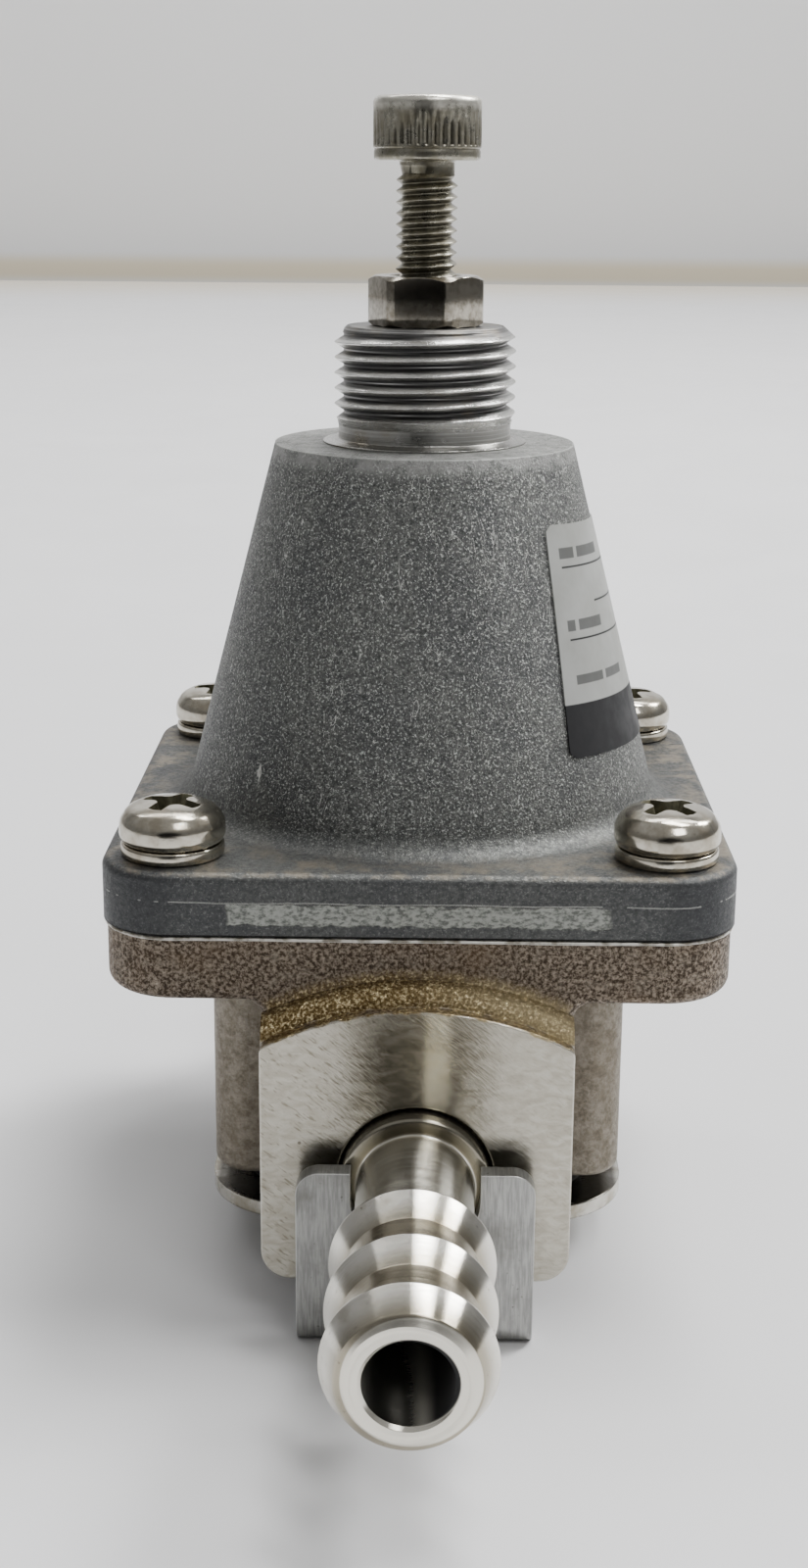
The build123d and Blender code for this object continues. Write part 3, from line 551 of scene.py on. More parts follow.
# --- materials
def make_body_metal():
    """Cast brass with worn nickel plating, machined port faces and a brassy blend over them."""
    s = Surface("cast_nickel_brass", (120, 112, 100), 1.0, 0.5)
    depth = s.size_of(s.y)
    grain = s.noise(4.0, 5.0, 0.72)
    lumps = s.noise(1.3, 3.0, 0.6)
    stain = s.noise(0.14, 3.0, 0.6)
    on_column = s.times(s.step(s.z, COLUMN_TOP, COLUMN_TOP - 0.25),
                        s.step(depth, COLUMN_HALF, COLUMN_HALF - 0.5))
    cast = s.mix(s.step(grain, 0.42, 0.6), (66, 57, 48), (146, 134, 120))
    cast = s.mix(s.step(grain, 0.6, 0.72, 0.0, 0.8), cast, (190, 181, 166))
    cast = s.mix(s.step(lumps, 0.5, 0.75, 0.0, 0.45), cast, (146, 137, 124))
    cast = s.mix(s.step(stain, 0.48, 0.72, 0.0, 0.5), cast, (108, 90, 70))
    smooth = s.mix(s.step(lumps, 0.3, 0.7), (120, 113, 100), (150, 144, 132))
    smooth = s.mix(s.step(s.noise(6.0, 4.0, 0.7), 0.54, 0.7, 0.0, 0.45), smooth, (84, 74, 60))
    cast = s.mix(s.times(on_column, 0.8), cast, smooth)
    cast = s.mix(s.edges(0.2, 0.03, 0.3), cast, (204, 198, 186))

    # Machined faces of the two port blocks
    face = s.step(depth, PORT_FACE_Y - 0.1, PORT_FACE_Y)
    swirl = s.noise(1.5, 3.0, 0.6, s.stretched(0.5, 1.0, 1.2), 0.8)
    scratch = s.noise(7.0, 2.0, 0.6, s.put("ShaderNodeMapping", {
        0: s.coords, "Rotation": (0.0, math.radians(38), 0.0),
        "Scale": (5.0, 1.0, 1.0)}, vector_type="TEXTURE").outputs[0])
    left_side = s.step(s.x, 2.0, -4.0, 0.35, 1.0)
    machined = s.mix(s.step(swirl, 0.3, 0.7), (160, 155, 142), (184, 180, 168))
    fine = s.times(s.step(scratch, 0.56, 0.7), left_side)
    machined = s.mix(s.times(fine, 0.7), machined, (112, 104, 88))
    pit = s.times(s.step(s.cells(0.42), 0.06, 0.035), 0.7)
    machined = s.mix(pit, machined, (74, 64, 52))

    # Above the hole the turned face carries a painted reflection of the barb, darker and widening
    # upwards
    above = s.minus(s.z, PORT_Z)
    slope = s.math("DIVIDE", s.x, s.math("MAXIMUM", above, 1.0))
    painted_reflection_fan = s.times(s.step(s.size_of(slope), 0.56, 0.16),
                  s.step(above, 2.0, 5.0))
    machined = s.mix(s.times(painted_reflection_fan, 0.5), machined, (84, 80, 70))
    # Painted highlight: a bright streak up the face, reflected from the barb's shaft
    painted_highlight_stripe = s.times(s.step(s.x, 0.1, 0.9),
                     s.step(s.x, 2.4, 1.6))
    painted_highlight_stripe = s.times(painted_highlight_stripe, s.step(painted_reflection_fan, 0.1, 0.6, 0.0, 0.7))
    machined = s.mix(painted_highlight_stripe, machined, (224, 220, 202))
    machined = s.mix(s.edges(0.25), machined, (236, 232, 222))
    colour = s.mix(face, cast, machined)

    # The concave blend, where the plating has gone and the brass shows, with painted glints and a
    # painted highlight growing towards the right
    arch = s.distance(s.x, s.minus(s.z, BLEND_CENTRE_Z))
    ripple = s.times(s.minus(s.noise(0.9, 2.0), 0.5), 0.6)
    reach = s.plus(arch, ripple)
    band = s.times(s.step(reach, BLEND_R, BLEND_R + 0.2),
                   s.step(reach, BLEND_R + 2.35, BLEND_R + 1.15))
    band = s.times(band, s.step(depth, BODY_FLANGE_W / 2 - 0.15, BODY_FLANGE_W / 2))
    band = s.times(band, s.step(s.size_of(s.x), PORT_BLOCK_HALF + 0.3, PORT_BLOCK_HALF - 0.3))
    glint = s.noise(5.0, 3.0, 0.7)
    brass_and_painted_highlight = s.mix(s.step(glint, 0.36, 0.56), (88, 72, 46), (132, 113, 78))
    brass_and_painted_highlight = s.mix(s.step(glint, 0.52, 0.65), brass_and_painted_highlight, (236, 220, 176))
    # Painted highlight: the brass grows lighter towards the right
    brass_and_painted_highlight = s.mix(s.step(s.x, -2.0, 8.0, 0.0, 0.3), brass_and_painted_highlight, (240, 224, 182))
    colour = s.mix(band, colour, brass_and_painted_highlight)
    # Painted highlight along the body's top edge under the bonnet
    rim = s.step(s.z, BODY_TOP, BODY_TOP + 0.05)
    colour = s.mix(rim, colour, (226, 222, 212))
    s.feed("Base Color", colour)

    rough = s.mix_value(face, s.step(grain, 0.3, 0.7, 0.6, 0.42), s.step(swirl, 0.3, 0.7, 0.19, 0.25))
    rough = s.mix_value(band, rough, s.step(glint, 0.35, 0.65, 0.5, 0.26))
    rough = s.mix_value(rim, rough, 0.25)
    s.feed("Roughness", rough)
    s.feed("Anisotropic", s.times(face, 0.5))
    s.feed("Tangent", s.put("ShaderNodeCombineXYZ", {0: s.x, 2: above}).outputs[0])

    relief = s.plus(s.times(grain, 0.6), s.times(lumps, 0.4))
    keep = s.times(s.minus(1.0, face),
                   s.minus(1.0, s.times(on_column, 0.6)))
    cast_relief = s.bump(s.times(relief, keep), 0.3, 0.8, s.soft_normal(0.2))
    s.feed("Normal", s.bump(s.times(scratch, face), 0.014, 0.8, cast_relief))
    return s.material


def make_die_cast():
    """Grit-blasted grey zinc alloy with sparkle, worn edges and pale dust round the screws."""
    s = Surface("blasted_die_cast", (110, 110, 109), 0.9, 0.5)
    sparkle = s.noise(7.0, 3.0, 0.75)
    grain = s.noise(3.2, 4.0, 0.65)
    cloud = s.noise(0.16, 4.0, 0.6)
    on_cone = s.step(s.z, FLANGE_TOP + 0.05, FLANGE_TOP + 2.2, 0.3, 1.0)
    colour = s.mix(s.step(grain, 0.3, 0.7), (79, 80, 79), (106, 107, 104))
    colour = s.mix(s.step(cloud, 0.42, 0.66, 0.0, 0.5), colour, (72, 73, 75))
    colour = s.mix(s.times(s.step(sparkle, 0.54, 0.66, 0.0, 0.76), on_cone),
                   colour, (212, 214, 208))
    colour = s.mix(s.times(s.step(sparkle, 0.44, 0.33, 0.0, 0.7), on_cone),
                   colour, (36, 37, 37))
    # Painted shade: the flange's sides are darker
    side = s.step(s.z, FLANGE_TOP - 0.1, FLANGE_TOP - 0.4, 0.0, 0.4)
    colour = s.mix(side, colour, (62, 63, 66))
    # Painted shade on the left and right of the flange's top
    flat = s.times(s.step(s.z, FLANGE_TOP + 0.9, FLANGE_TOP + 0.1),
                   s.step(s.size_of(s.x), 14.0, 16.5, 0.0, 0.5))
    colour = s.mix(flat, colour, (58, 59, 61))

    # The rim of the cone's flat top is rubbed bright
    rubbed = s.times(s.step(s.z, CONE_TOP - 1.4, CONE_TOP - 0.4),
                     s.step(s.noise(0.9, 4.0, 0.65), 0.36, 0.6, 0.15, 0.75))
    colour = s.mix(rubbed, colour, (150, 150, 147))

    # Short scratches down to bright metal
    scratch = s.noise(0.9, 2.0, 0.5, s.stretched(1.0, 1.0, 0.25), 1.5)
    mark = s.times(s.step(s.size_of(s.minus(scratch, 0.5)),
                          0.007, 0.002), s.step(s.noise(0.35), 0.52, 0.62))
    mark = s.times(mark, s.step(s.z, FLANGE_TOP + 0.7, FLANGE_TOP + 1.7))
    colour = s.mix(mark, colour, (205, 205, 200))

    # Pale dust lies on the flange round the screws and at the foot of the cone
    low = s.times(s.step(s.z, FLANGE_TOP + 1.7, FLANGE_TOP + 0.2),
                  s.step(s.z, FLANGE_TOP - 0.3, FLANGE_TOP - 0.05))
    dust = s.times(low, s.step(s.noise(0.6, 4.0, 0.65), 0.42, 0.64, 0.0, 0.7))
    dust = s.times(dust, s.step(s.distance(s.x, s.y), 16.0, 19.5))
    colour = s.mix(dust, colour, (134, 126, 112))

    # Worn rims, and the strip on the front of the flange where the flash was ground off
    worn = s.plus(s.edges(0.3, 0.01, 0.2), s.times(s.minus(s.noise(1.5), 0.5), 0.8))
    colour = s.mix(s.step(worn, 0.35, 0.9), colour, (182, 183, 178))
    wobble = s.times(s.minus(s.noise(0.8, 3.0, 0.7), 0.5), 0.9)
    height = s.plus(s.z, wobble)
    across = s.plus(s.size_of(s.x), wobble)
    ground = s.times(s.step(height, GROUND_LOW, GROUND_LOW + 0.12),
                     s.step(height, GROUND_HIGH, GROUND_HIGH - 0.12))
    ground = s.times(ground, s.step(across, GROUND_HALF, GROUND_HALF - 0.3))
    ground = s.times(ground, s.step(s.y, 0.1 - FLANGE_W / 2, 0.05 - FLANGE_W / 2))
    streak = s.noise(3.4, 4.0, 0.7, s.stretched(0.7, 1.0, 1.2))
    bright = s.mix(s.step(streak, 0.36, 0.6), (92, 94, 90), (146, 148, 142))
    colour = s.mix(ground, colour, bright)
    # Painted shade in the gap under the bonnet's bottom edge
    painted_joint_shade = s.step(s.z, BONNET_BOTTOM + 0.16, BONNET_BOTTOM + 0.06)
    colour = s.mix(painted_joint_shade, colour, (20, 19, 18))
    s.feed("Base Color", colour)
    s.feed("Roughness", s.mix_value(ground, s.step(grain, 0.3, 0.7, 0.58, 0.44), 0.42))

    relief = s.plus(s.times(grain, 0.4), s.times(sparkle, 0.6))
    relief = s.times(relief, s.minus(1.0, ground))
    relief = s.times(relief, s.plus(0.25, s.times(on_cone, 0.75)))
    s.feed("Normal", s.bump(relief, 0.2, 0.9, s.soft_normal(0.15)))
    return s.material


def make_neck_metal():
    """The cut thread and turned faces of the neck: painted highlight on the crests and painted shade
    in the roots.
    """
    s = Surface("cut_zinc", (150, 151, 153), 1.0, 0.3)
    radius = s.distance(s.x, s.y)
    patch = s.noise(0.7, 3.0, 0.6)
    # Painted highlight on the thread's crests and painted shade in its roots
    crest = s.step(s.plus(radius, s.times(patch, 0.14)),
                   NECK_R - 0.38, NECK_R + 0.02)
    colour = s.mix(crest, (84, 83, 82), (210, 209, 205))
    plain = s.times(s.step(s.z, THREAD_START + 0.2, THREAD_START - 0.1),
                    s.step(radius, 5.2, 5.4))
    colour = s.mix(plain, colour, (150, 149, 145))
    colour = s.mix(s.step(s.noise(0.25, 3.0), 0.52, 0.72, 0.0, 0.55), colour, (128, 116, 92))
    rings = s.noise(3.0, 2.0, 0.5, s.stretched(0.02, 0.02, 3.0))
    colour = s.mix(s.step(rings, 0.45, 0.7, 0.0, 0.35), colour, (228, 228, 226))
    lines = s.bump(rings, 0.05, 0.5)
    return s.done(colour, s.step(s.plus(patch, crest), 0.3, 1.5, 0.42, 0.2),
                  s.bump(s.noise(4.0, 3.0, 0.7), 0.05, 0.6, lines))


def make_mottled(name, base, pattern, shades, roughness, relief, specks=None):
    """A metal whose colour, roughness and relief follow one noise, with specks if wanted."""
    s = Surface(name, base, 1.0, roughness[0])
    per_mm, detail, rough, low, high, stretch = pattern
    cloud = s.noise(per_mm, detail, rough, s.stretched(*stretch) if stretch else None)
    colour = s.mix(s.step(cloud, low, high), *shades)
    if specks:
        specks_per_mm, low, amount, tint = specks
        spots = s.step(s.noise(specks_per_mm, 3.0), low, 0.76, 0.0, amount)
        colour = s.mix(spots, colour, tint)
    return s.done(colour, s.step(cloud, 0.3, 0.7, *roughness), s.bump(cloud, *relief))


def make_bright_nickel():
    """Bright nickel plate, smooth, with faint smears."""
    s = Surface("bright_nickel_plate", (214, 210, 202), 1.0, 0.14)
    smear = s.noise(0.7, 4.0, 0.6)
    colour = s.mix(s.step(smear, 0.35, 0.7), (196, 191, 178), (158, 150, 134))
    colour = s.mix(s.step(s.noise(3.0, 3.0), 0.66, 0.76, 0.0, 0.5), colour, (120, 110, 90))
    return s.done(colour, s.step(smear, 0.3, 0.7, 0.10, 0.24),
                  s.bump(s.noise(2.0, 3.0, 0.6), 0.02, 0.5))


def make_nut_plate():
    """The lock nut's older nickel plate: greyer, a little mottled, but still glossy."""
    return make_mottled("nut_plate", (150, 147, 140), (2.2, 4.0, 0.65, 0.35, 0.68, None),
                        ((158, 153, 142), (120, 114, 102)), (0.1, 0.2), (0.012, 0.4),
                        (5.0, 0.64, 0.6, (92, 84, 70)))


def make_dark_recess():
    """The olive-dark inside of a cross recess."""
    s = Surface("recess_dark", (70, 68, 52), 0.6, 0.5)
    return s.done(s.mix(s.noise(3.0, 3.0), (34, 34, 26), (120, 116, 92)),
                  s.step(s.noise(2.0), 0.3, 0.7, 0.35, 0.6),
                  s.bump(s.noise(5.0), 0.05, 0.6))


def make_aged_zinc():
    """Old zinc plate gone olive grey, darker down in the thread and between the ridges."""
    s = Surface("aged_zinc_plate", (140, 134, 116), 1.0, 0.32)
    patch = s.noise(0.9, 4.0, 0.65)
    spots = s.noise(3.0, 3.0, 0.6)
    colour = s.mix(s.step(patch, 0.35, 0.68), (152, 149, 137), (122, 117, 102))
    colour = s.mix(s.step(spots, 0.56, 0.76, 0.0, 0.5), colour, (88, 80, 62))
    radius = s.distance(s.x, s.y)
    shank = s.step(s.z, HEAD_UNDERSIDE - 0.3, HEAD_UNDERSIDE - 0.5)
    groove = s.times(shank, s.step(radius, SCREW_R - 0.04, SCREW_R - 0.34))
    colour = s.mix(s.times(groove, 0.6), colour, (78, 75, 62))
    ridge = s.times(s.step(radius, HEAD_R - 0.03, HEAD_R - 0.14),
                    s.step(radius, HEAD_R - 0.3, HEAD_R - 0.2))
    ridge = s.times(ridge, s.step(s.z, HEAD_UNDERSIDE + 0.8, HEAD_UNDERSIDE + 1.0))
    colour = s.mix(s.times(ridge, 0.6), colour, (48, 46, 38))
    # Painted highlight: the head's top and its rounded rim are lighter
    top = s.step(s.plus(s.z, s.times(patch, 0.8)), HEAD_TOP - 0.7, HEAD_TOP - 0.1)
    colour = s.mix(top, colour, (214, 211, 200))
    return s.done(colour,
                  s.step(patch, 0.3, 0.7, 0.24, 0.4),
                  s.bump(spots, 0.03, 0.5))


def make_barb_metal():
    """Turned and nickel-plated barb: fine turning marks, with painted shade in its valleys, on its
    end ring at the port and down its hole.
    """
    s = Surface("turned_nickel", (196, 190, 176), 1.0, 0.2)
    radius = s.distance(s.x, s.minus(s.z, PORT_Z))
    turning = s.noise(2.2, 2.0, 0.5, s.stretched(0.02, 5.0, 0.02))
    patch = s.noise(0.35, 4.0, 0.6)
    # Painted shade: the valleys between the ribs are darker than the crests
    colour = s.mix(s.step(radius, BARB_VALLEY_R - 0.1, BARB_RIB_R - 0.15), (164, 157, 140),
                   (226, 223, 214))
    colour = s.mix(s.step(patch, 0.5, 0.75, 0.0, 0.5), colour, (150, 138, 112))
    colour = s.mix(s.step(s.noise(3.5, 2.0), 0.66, 0.75, 0.0, 0.5), colour, (96, 84, 62))
    shaft = s.step(radius, BARB_SHAFT_R + 0.17, BARB_SHAFT_R + 0.07)
    colour = s.mix(shaft, colour, (224, 220, 208))
    depth = s.size_of(s.y)
    # Painted shade on the ring that stands back in the port
    painted_collar_shade = s.times(s.step(depth, BARB_COLLAR_END + 0.38, BARB_COLLAR_END + 0.23),
                     s.step(radius, BARB_SHAFT_R + 0.07, BARB_SHAFT_R + 0.27))
    colour = s.mix(s.times(painted_collar_shade, 0.75), colour, (104, 98, 78))
    # Painted shade: the hole through the barb is black and not metallic
    painted_bore_shade = s.step(radius, BARB_BORE_R + 0.12, BARB_BORE_R)
    colour = s.mix(painted_bore_shade, colour, (10, 9, 9))
    s.feed("Base Color", colour)
    polish = s.step(s.plus(turning, patch), 0.7, 1.3, 0.17, 0.27)
    s.feed("Roughness", s.mix_value(painted_bore_shade, polish, 0.8))
    s.feed("Metallic", s.minus(1.0, painted_bore_shade))
    s.shader.inputs["Anisotropic"].default_value = 0.95
    s.feed("Tangent", s.put("ShaderNodeCombineXYZ", {1: 1.0}).outputs[0])
    s.feed("Normal", s.bump(turning, 0.006, 0.4, s.soft_normal(0.05)))
    return s.material


def make_burr_metal():
    """The bright torn edge of the body's plating."""
    s = Surface("bright_burr", (226, 222, 210), 0.75, 0.42)
    patch = s.noise(0.9, 3.0, 0.6)
    colour = s.mix(s.step(patch, 0.4, 0.62), (238, 235, 226), (150, 143, 130))
    colour = s.mix(s.edges(0.1), colour, (246, 244, 238))
    return s.done(colour,
                  s.step(patch, 0.3, 0.7, 0.36, 0.5),
                  s.bump(s.noise(3.0), 0.02, 0.5))


def make_strap_aluminium():
    """Bare sheet aluminium, finely brushed along the strip, with pits and grey stains."""
    s = Surface("bare_aluminium_sheet", (196, 196, 194), 1.0, 0.42)
    brushed = s.noise(2.5, 3.0, 0.6, s.stretched(3.0, 0.2, 0.25))
    stain = s.noise(0.3, 4.0, 0.65)
    pits = s.noise(3.2, 3.0, 0.6)
    colour = s.mix(s.step(brushed, 0.3, 0.7), (144, 144, 142), (172, 172, 169))
    colour = s.mix(s.step(stain, 0.44, 0.68, 0.0, 0.6), colour, (124, 123, 118))
    colour = s.mix(s.step(pits, 0.66, 0.76, 0.0, 0.7), colour, (96, 94, 88))
    colour = s.mix(s.edges(0.15), colour, (232, 232, 230))
    return s.done(colour,
                  s.step(stain, 0.3, 0.75, 0.36, 0.55),
                  s.bump(s.plus(brushed, pits), 0.02, 0.5, s.soft_normal(0.12)))


def make_cover_plate():
    """Polished plated steel with a dirty smear, and painted shade on its top face under the body."""
    s = Surface("polished_plate", (200, 198, 190), 1.0, 0.18)
    smear = s.noise(0.3, 4.0, 0.6)
    colour = s.mix(s.step(smear, 0.4, 0.7), (206, 204, 196), (150, 142, 124))
    # Painted shade on the top face under the body, inside the plate's rim
    darkening = s.step(s.z, COVER_TOP - 0.1, COVER_TOP)
    reach = s.math("MAXIMUM", s.size_of(s.x), s.size_of(s.y))
    darkening = s.times(darkening, s.step(reach, COVER_HALF - 0.1, COVER_HALF - 0.6))
    colour = s.mix(s.times(darkening, 0.85), colour, (52, 48, 42))
    return s.done(colour,
                  s.step(smear, 0.3, 0.7, 0.14, 0.34),
                  s.bump(s.noise(2.5), 0.015, 0.4, s.soft_normal(0.25)))


def make_rubber():
    """Matt black rubber with a dusty bloom."""
    s = Surface("black_nitrile", (34, 33, 33), 0.0, 0.7)
    bloom = s.mix(s.step(s.noise(1.2, 4.0), 0.4, 0.7), (26, 26, 26), (52, 50, 46))
    return s.done(bloom, s.step(s.noise(2.0), 0.3, 0.7, 0.62, 0.82),
                  s.bump(s.noise(3.0, 3.0), 0.04, 0.5))


def make_turned_brass():
    """Clean turned brass of the parts inside."""
    return make_mottled("turned_brass_bare", (196, 162, 92),
                        (2.0, 2.0, 0.5, 0.3, 0.7, (0.05, 0.05, 4.0)),
                        ((186, 150, 82), (212, 180, 112)), (0.2, 0.34), (0.015, 0.5))


def make_spring_steel():
    """Drawn spring wire with an oiled grey skin."""
    return make_mottled("spring_wire", (128, 128, 130), (1.5, 3.0, 0.55, 0.3, 0.7, None),
                        ((110, 110, 114), (156, 156, 156)), (0.24, 0.42), (0.02, 0.4))


def make_label_film():
    """White film printed with generic rules and a plain black band; UV is in mm on the label."""
    s = Surface("label_film", (226, 228, 226), 0.0, 0.38)
    uv = s.put("ShaderNodeUVMap").outputs[0]
    u, v, _ = s.put("ShaderNodeSeparateXYZ", {0: uv}).outputs

    def box(left, right, low, high):
        """1 inside a printed rectangle, in mm on the label."""
        edge = 0.03
        inside = s.times(s.step(u, left - edge, left + edge),
                         s.step(u, right + edge, right - edge))
        inside = s.times(inside, s.step(v, low - edge, low + edge))
        return s.times(inside, s.step(v, high + edge, high - edge))

    ink = box(-1.0, 30.0, -1.0, LABEL_BAND)
    for left, right, height in LABEL_RULES:
        ink = s.plus(ink, box(left, right, height, height + LABEL_RULE_T), True)
    for left, right, low, high in LABEL_BARS:
        ink = s.plus(ink, s.times(box(left, right, low, high), 0.72), True)
    paper = s.mix(s.step(s.noise(0.25, 4.0), 0.35, 0.75), (154, 155, 152), (140, 141, 136))
    paper = s.mix(s.step(s.noise(2.5, 3.0), 0.68, 0.78, 0.0, 0.4), paper, (160, 158, 150))
    black = s.mix(s.noise(0.8, 3.0), (12, 12, 14), (26, 26, 28))
    s.shader.inputs["Specular IOR Level"].default_value = 0.3
    return s.done(s.mix(ink, paper, black), s.step(s.noise(0.6, 3.0), 0.3, 0.7, 0.5, 0.65),
                  s.bump(s.noise(1.2, 2.0), 0.02, 0.4))


# --- pieces
def build_bonnet(die_cast):
    """The casting from the CAD with its plain neck cut off, ready for the threaded one."""
    casting = cad_copy("bonnet", "bonnet_casting")
    bm = bmesh.new()
    bm.from_mesh(casting.data)
    cut = bmesh.ops.bisect_plane(bm, geom=bm.verts[:] + bm.edges[:] + bm.faces[:],
                                 plane_co=(0, 0, CUT_Z * MM), plane_no=(0, 0, 1),
                                 clear_outer=True)
    rim = [e for e in cut["geom_cut"] if isinstance(e, bmesh.types.BMEdge)]
    bmesh.ops.bridge_loops(bm, edges=rim)
    bm.to_mesh(casting.data)
    bm.free()
    tidy_mesh(casting.data, 28.0)
    return add_piece(casting, "housing", "zinc_die_cast", die_cast, "bonnet")


def build_neck(metal):
    """The M12x1 neck on its turned spot face."""
    below = rounded([
        (RELIEF_R, THREAD_START - 0.15),
        (RELIEF_R, 53.62, 0.15),
        *SPOT_FACE_RINGS,
        (SPOT_FACE_R, 53.45, 0.06),
        (SPOT_FACE_R, CUT_Z),
        (BORE_R, CUT_Z),
    ])
    top = NECK_TOP - 0.02
    above = rounded([
        (NECK_R - NECK_CHAMFER - 0.15, top, 0.1),
        (BORE_R + 0.3, top),
        (BORE_R, NECK_TOP - 0.3),
        (BORE_R, CUT_Z),
    ])

    def limit(z):
        """Chamfered at the top end and running out into the relief at the bottom."""
        largest = min(NECK_R - NECK_CHAMFER - 0.1 + (NECK_TOP - z) * 1.15, NECK_R)
        depth = smoothstep(z, THREAD_START - 0.1, THREAD_START + 0.9)
        if z < THREAD_START + 0.9:
            largest = min(largest, RELIEF_R + (NECK_R - RELIEF_R) * depth)
        return largest, 1.0 if z > THREAD_START + 0.5 else depth

    neck = threaded("neck_thread", below, above, THREAD_START - 0.1, top, NECK_PITCH,
                    NECK_ROOT_R, NECK_R, limit, 180, NECK_START)
    return add_piece(neck, "housing", "zinc_die_cast", metal)


def perimeter(half, corner_r, spacing=0.6):
    """Points (x, y, outward x, outward y) round a square with rounded corners."""
    corner = half - corner_r
    path = []
    for quarter, (cx, cy) in enumerate(((corner, corner), (-corner, corner),
                                        (-corner, -corner), (corner, -corner))):
        for step in range(13):
            a = math.pi / 2 * (quarter + step / 12)
            path.append((cx + corner_r * math.cos(a), cy + corner_r * math.sin(a),
                         math.cos(a), math.sin(a)))
    dense = []
    for index, here in enumerate(path):
        there = path[(index + 1) % len(path)]
        steps = max(1, int(math.hypot(there[0] - here[0], there[1] - here[1]) / spacing))
        for step in range(steps):
            t = step / steps
            dense.append(tuple(a + (b - a) * t for a, b in zip(here, there)))
    return dense


def build_flash(metal):
    """The thin casting seam left round the flange, ground away in the middle of the front."""
    dense = perimeter(FLANGE_W / 2, FLANGE_CORNER_R)
    rng = random.Random(7)
    rows = [[], [], [], []]
    for x, y, nx, ny in dense:
        out = 0.045 * rng.random() - 0.015 + 0.02 * math.sin(0.9 * x + 0.6 * y)
        if y < 0 and abs(x) < GROUND_HALF - 0.1:
            out = 0.002
        z = SEAM_Z + 0.03 * math.sin(x * 0.7) + 0.02 * (rng.random() - 0.5)
        for row, (reach, rise) in zip(rows, ((-0.1, 0.1), (out, 0.04), (out, -0.04),
                                             (-0.1, -0.1))):
            row.append((x + nx * reach, y + ny * reach, z + rise))
    verts, faces = ring_grid(rows + [rows[0]], len(dense))
    seam = new_object("parting_seam", verts, faces, 50.0)
    return add_piece(seam, "housing", "zinc_die_cast", metal)


def build_lip(metal):
    """The bright burr the facing cut left round the top edge of the body's flange."""
    dense = perimeter(BODY_FLANGE_W / 2, FLANGE_CORNER_R)
    rng = random.Random(11)
    rows = [[], [], [], [], []]
    for x, y, nx, ny in dense:
        out = 0.13 + 0.05 * rng.random()
        rise = 0.015 * math.sin(x * 0.5 + y * 0.3)
        section = ((-0.1, -0.02), (out, 0.02 + rise), (out, 0.07 + rise), (0.02, 0.26),
                   (-0.1, 0.26))
        for row, (reach, z) in zip(rows, section):
            row.append((x + nx * reach, y + ny * reach, BODY_TOP + z))
    verts, faces = ring_grid(rows + [rows[0]], len(dense))
    lip = new_object("body_edge_burr", verts, faces, 60.0)
    return add_piece(lip, "housing", "nickel_brass", metal)


def build_adjusting_screw(metal):
    """Knurled socket head, short plain shank and M4 thread."""
    segments = 240
    worn_r = HEAD_R - 0.015
    knurl_low = KNURL_LEVELS[-1]

    def knurl(height):
        """The head's radius at each angle: ridges that fade out and are worn on one side."""
        low_fade = smoothstep(height, knurl_low, knurl_low + 0.15)

        def radius(a):
            worn = 0.35 + 0.25 * math.sin(a * 2 + 0.6) + 0.15 * math.sin(a * 5)
            grip = 0.64 + 0.36 * math.cos(a + 1.1)
            fade = low_fade * grip * (1 - smoothstep(height, 73.4 - worn, 74.5))
            wave = abs(math.sin(a * KNURL_RIDGES / 2))
            return HEAD_R - KNURL_DEPTH * fade * (1 - wave) - 0.015 * (1 - fade)
        return radius

    socket = hexagon_radius(HEX_KEY, 0.0, 1.74)
    rows = [ring(POLE_R, HEAD_TOP - 1.6, segments), ring(socket, HEAD_TOP - 2.0, segments)]
    rows += [ring(socket, HEAD_TOP - 0.12, segments), ring(1.86, HEAD_TOP, segments)]
    for r, z in rounded([(2.2, HEAD_TOP), (HEAD_R, HEAD_TOP, 0.7),
                         (HEAD_R, HEAD_TOP - 1.2)], 6)[:-1]:
        rows.append(ring(min(r, worn_r), z, segments))
    rows += [ring(knurl(height), height, segments) for height in KNURL_LEVELS]
    under = HEAD_UNDERSIDE
    for r, z in rounded([(worn_r, under + 0.8), (3.40, under + 0.72), (3.40, under + 0.65),
                         (3.44, under + 0.58), (3.44, under, 0.22), (1.9, under),
                         (SHANK_R, under - 0.1), (SHANK_R, under - 0.3),
                         (POLE_R, under - 0.3)]):
        rows.append(ring(r, z, segments))
    rows.append(rows[0])
    verts, faces = ring_grid(rows, segments)
    head = new_object("head", verts, faces, 40.0)

    def limit(z):
        """A chamfered tip, and the crests sinking into the plain shank at the top."""
        if z > SCREW_THREAD_TOP - 0.5:
            sunk = smoothstep(z, SCREW_THREAD_TOP - 0.5, SCREW_THREAD_TOP)
            return SHANK_R + (SCREW_R - SHANK_R) * (1 - sunk), 1.0
        return min(SCREW_R, 1.55 + z - SCREW_TIP), 1.0

    shank = threaded("shank", [(0.0, SCREW_TIP)],
                     [(SHANK_R, HEAD_UNDERSIDE - 0.15), (0.0, HEAD_UNDERSIDE - 0.15)],
                     SCREW_TIP, SCREW_THREAD_TOP, SCREW_PITCH, SCREW_ROOT_R, SCREW_R, limit, 72)
    screw = join("adjusting_screw_detail", [head, shank])
    return add_piece(screw, "screw", "aged_zinc", metal, "adjusting_screw")


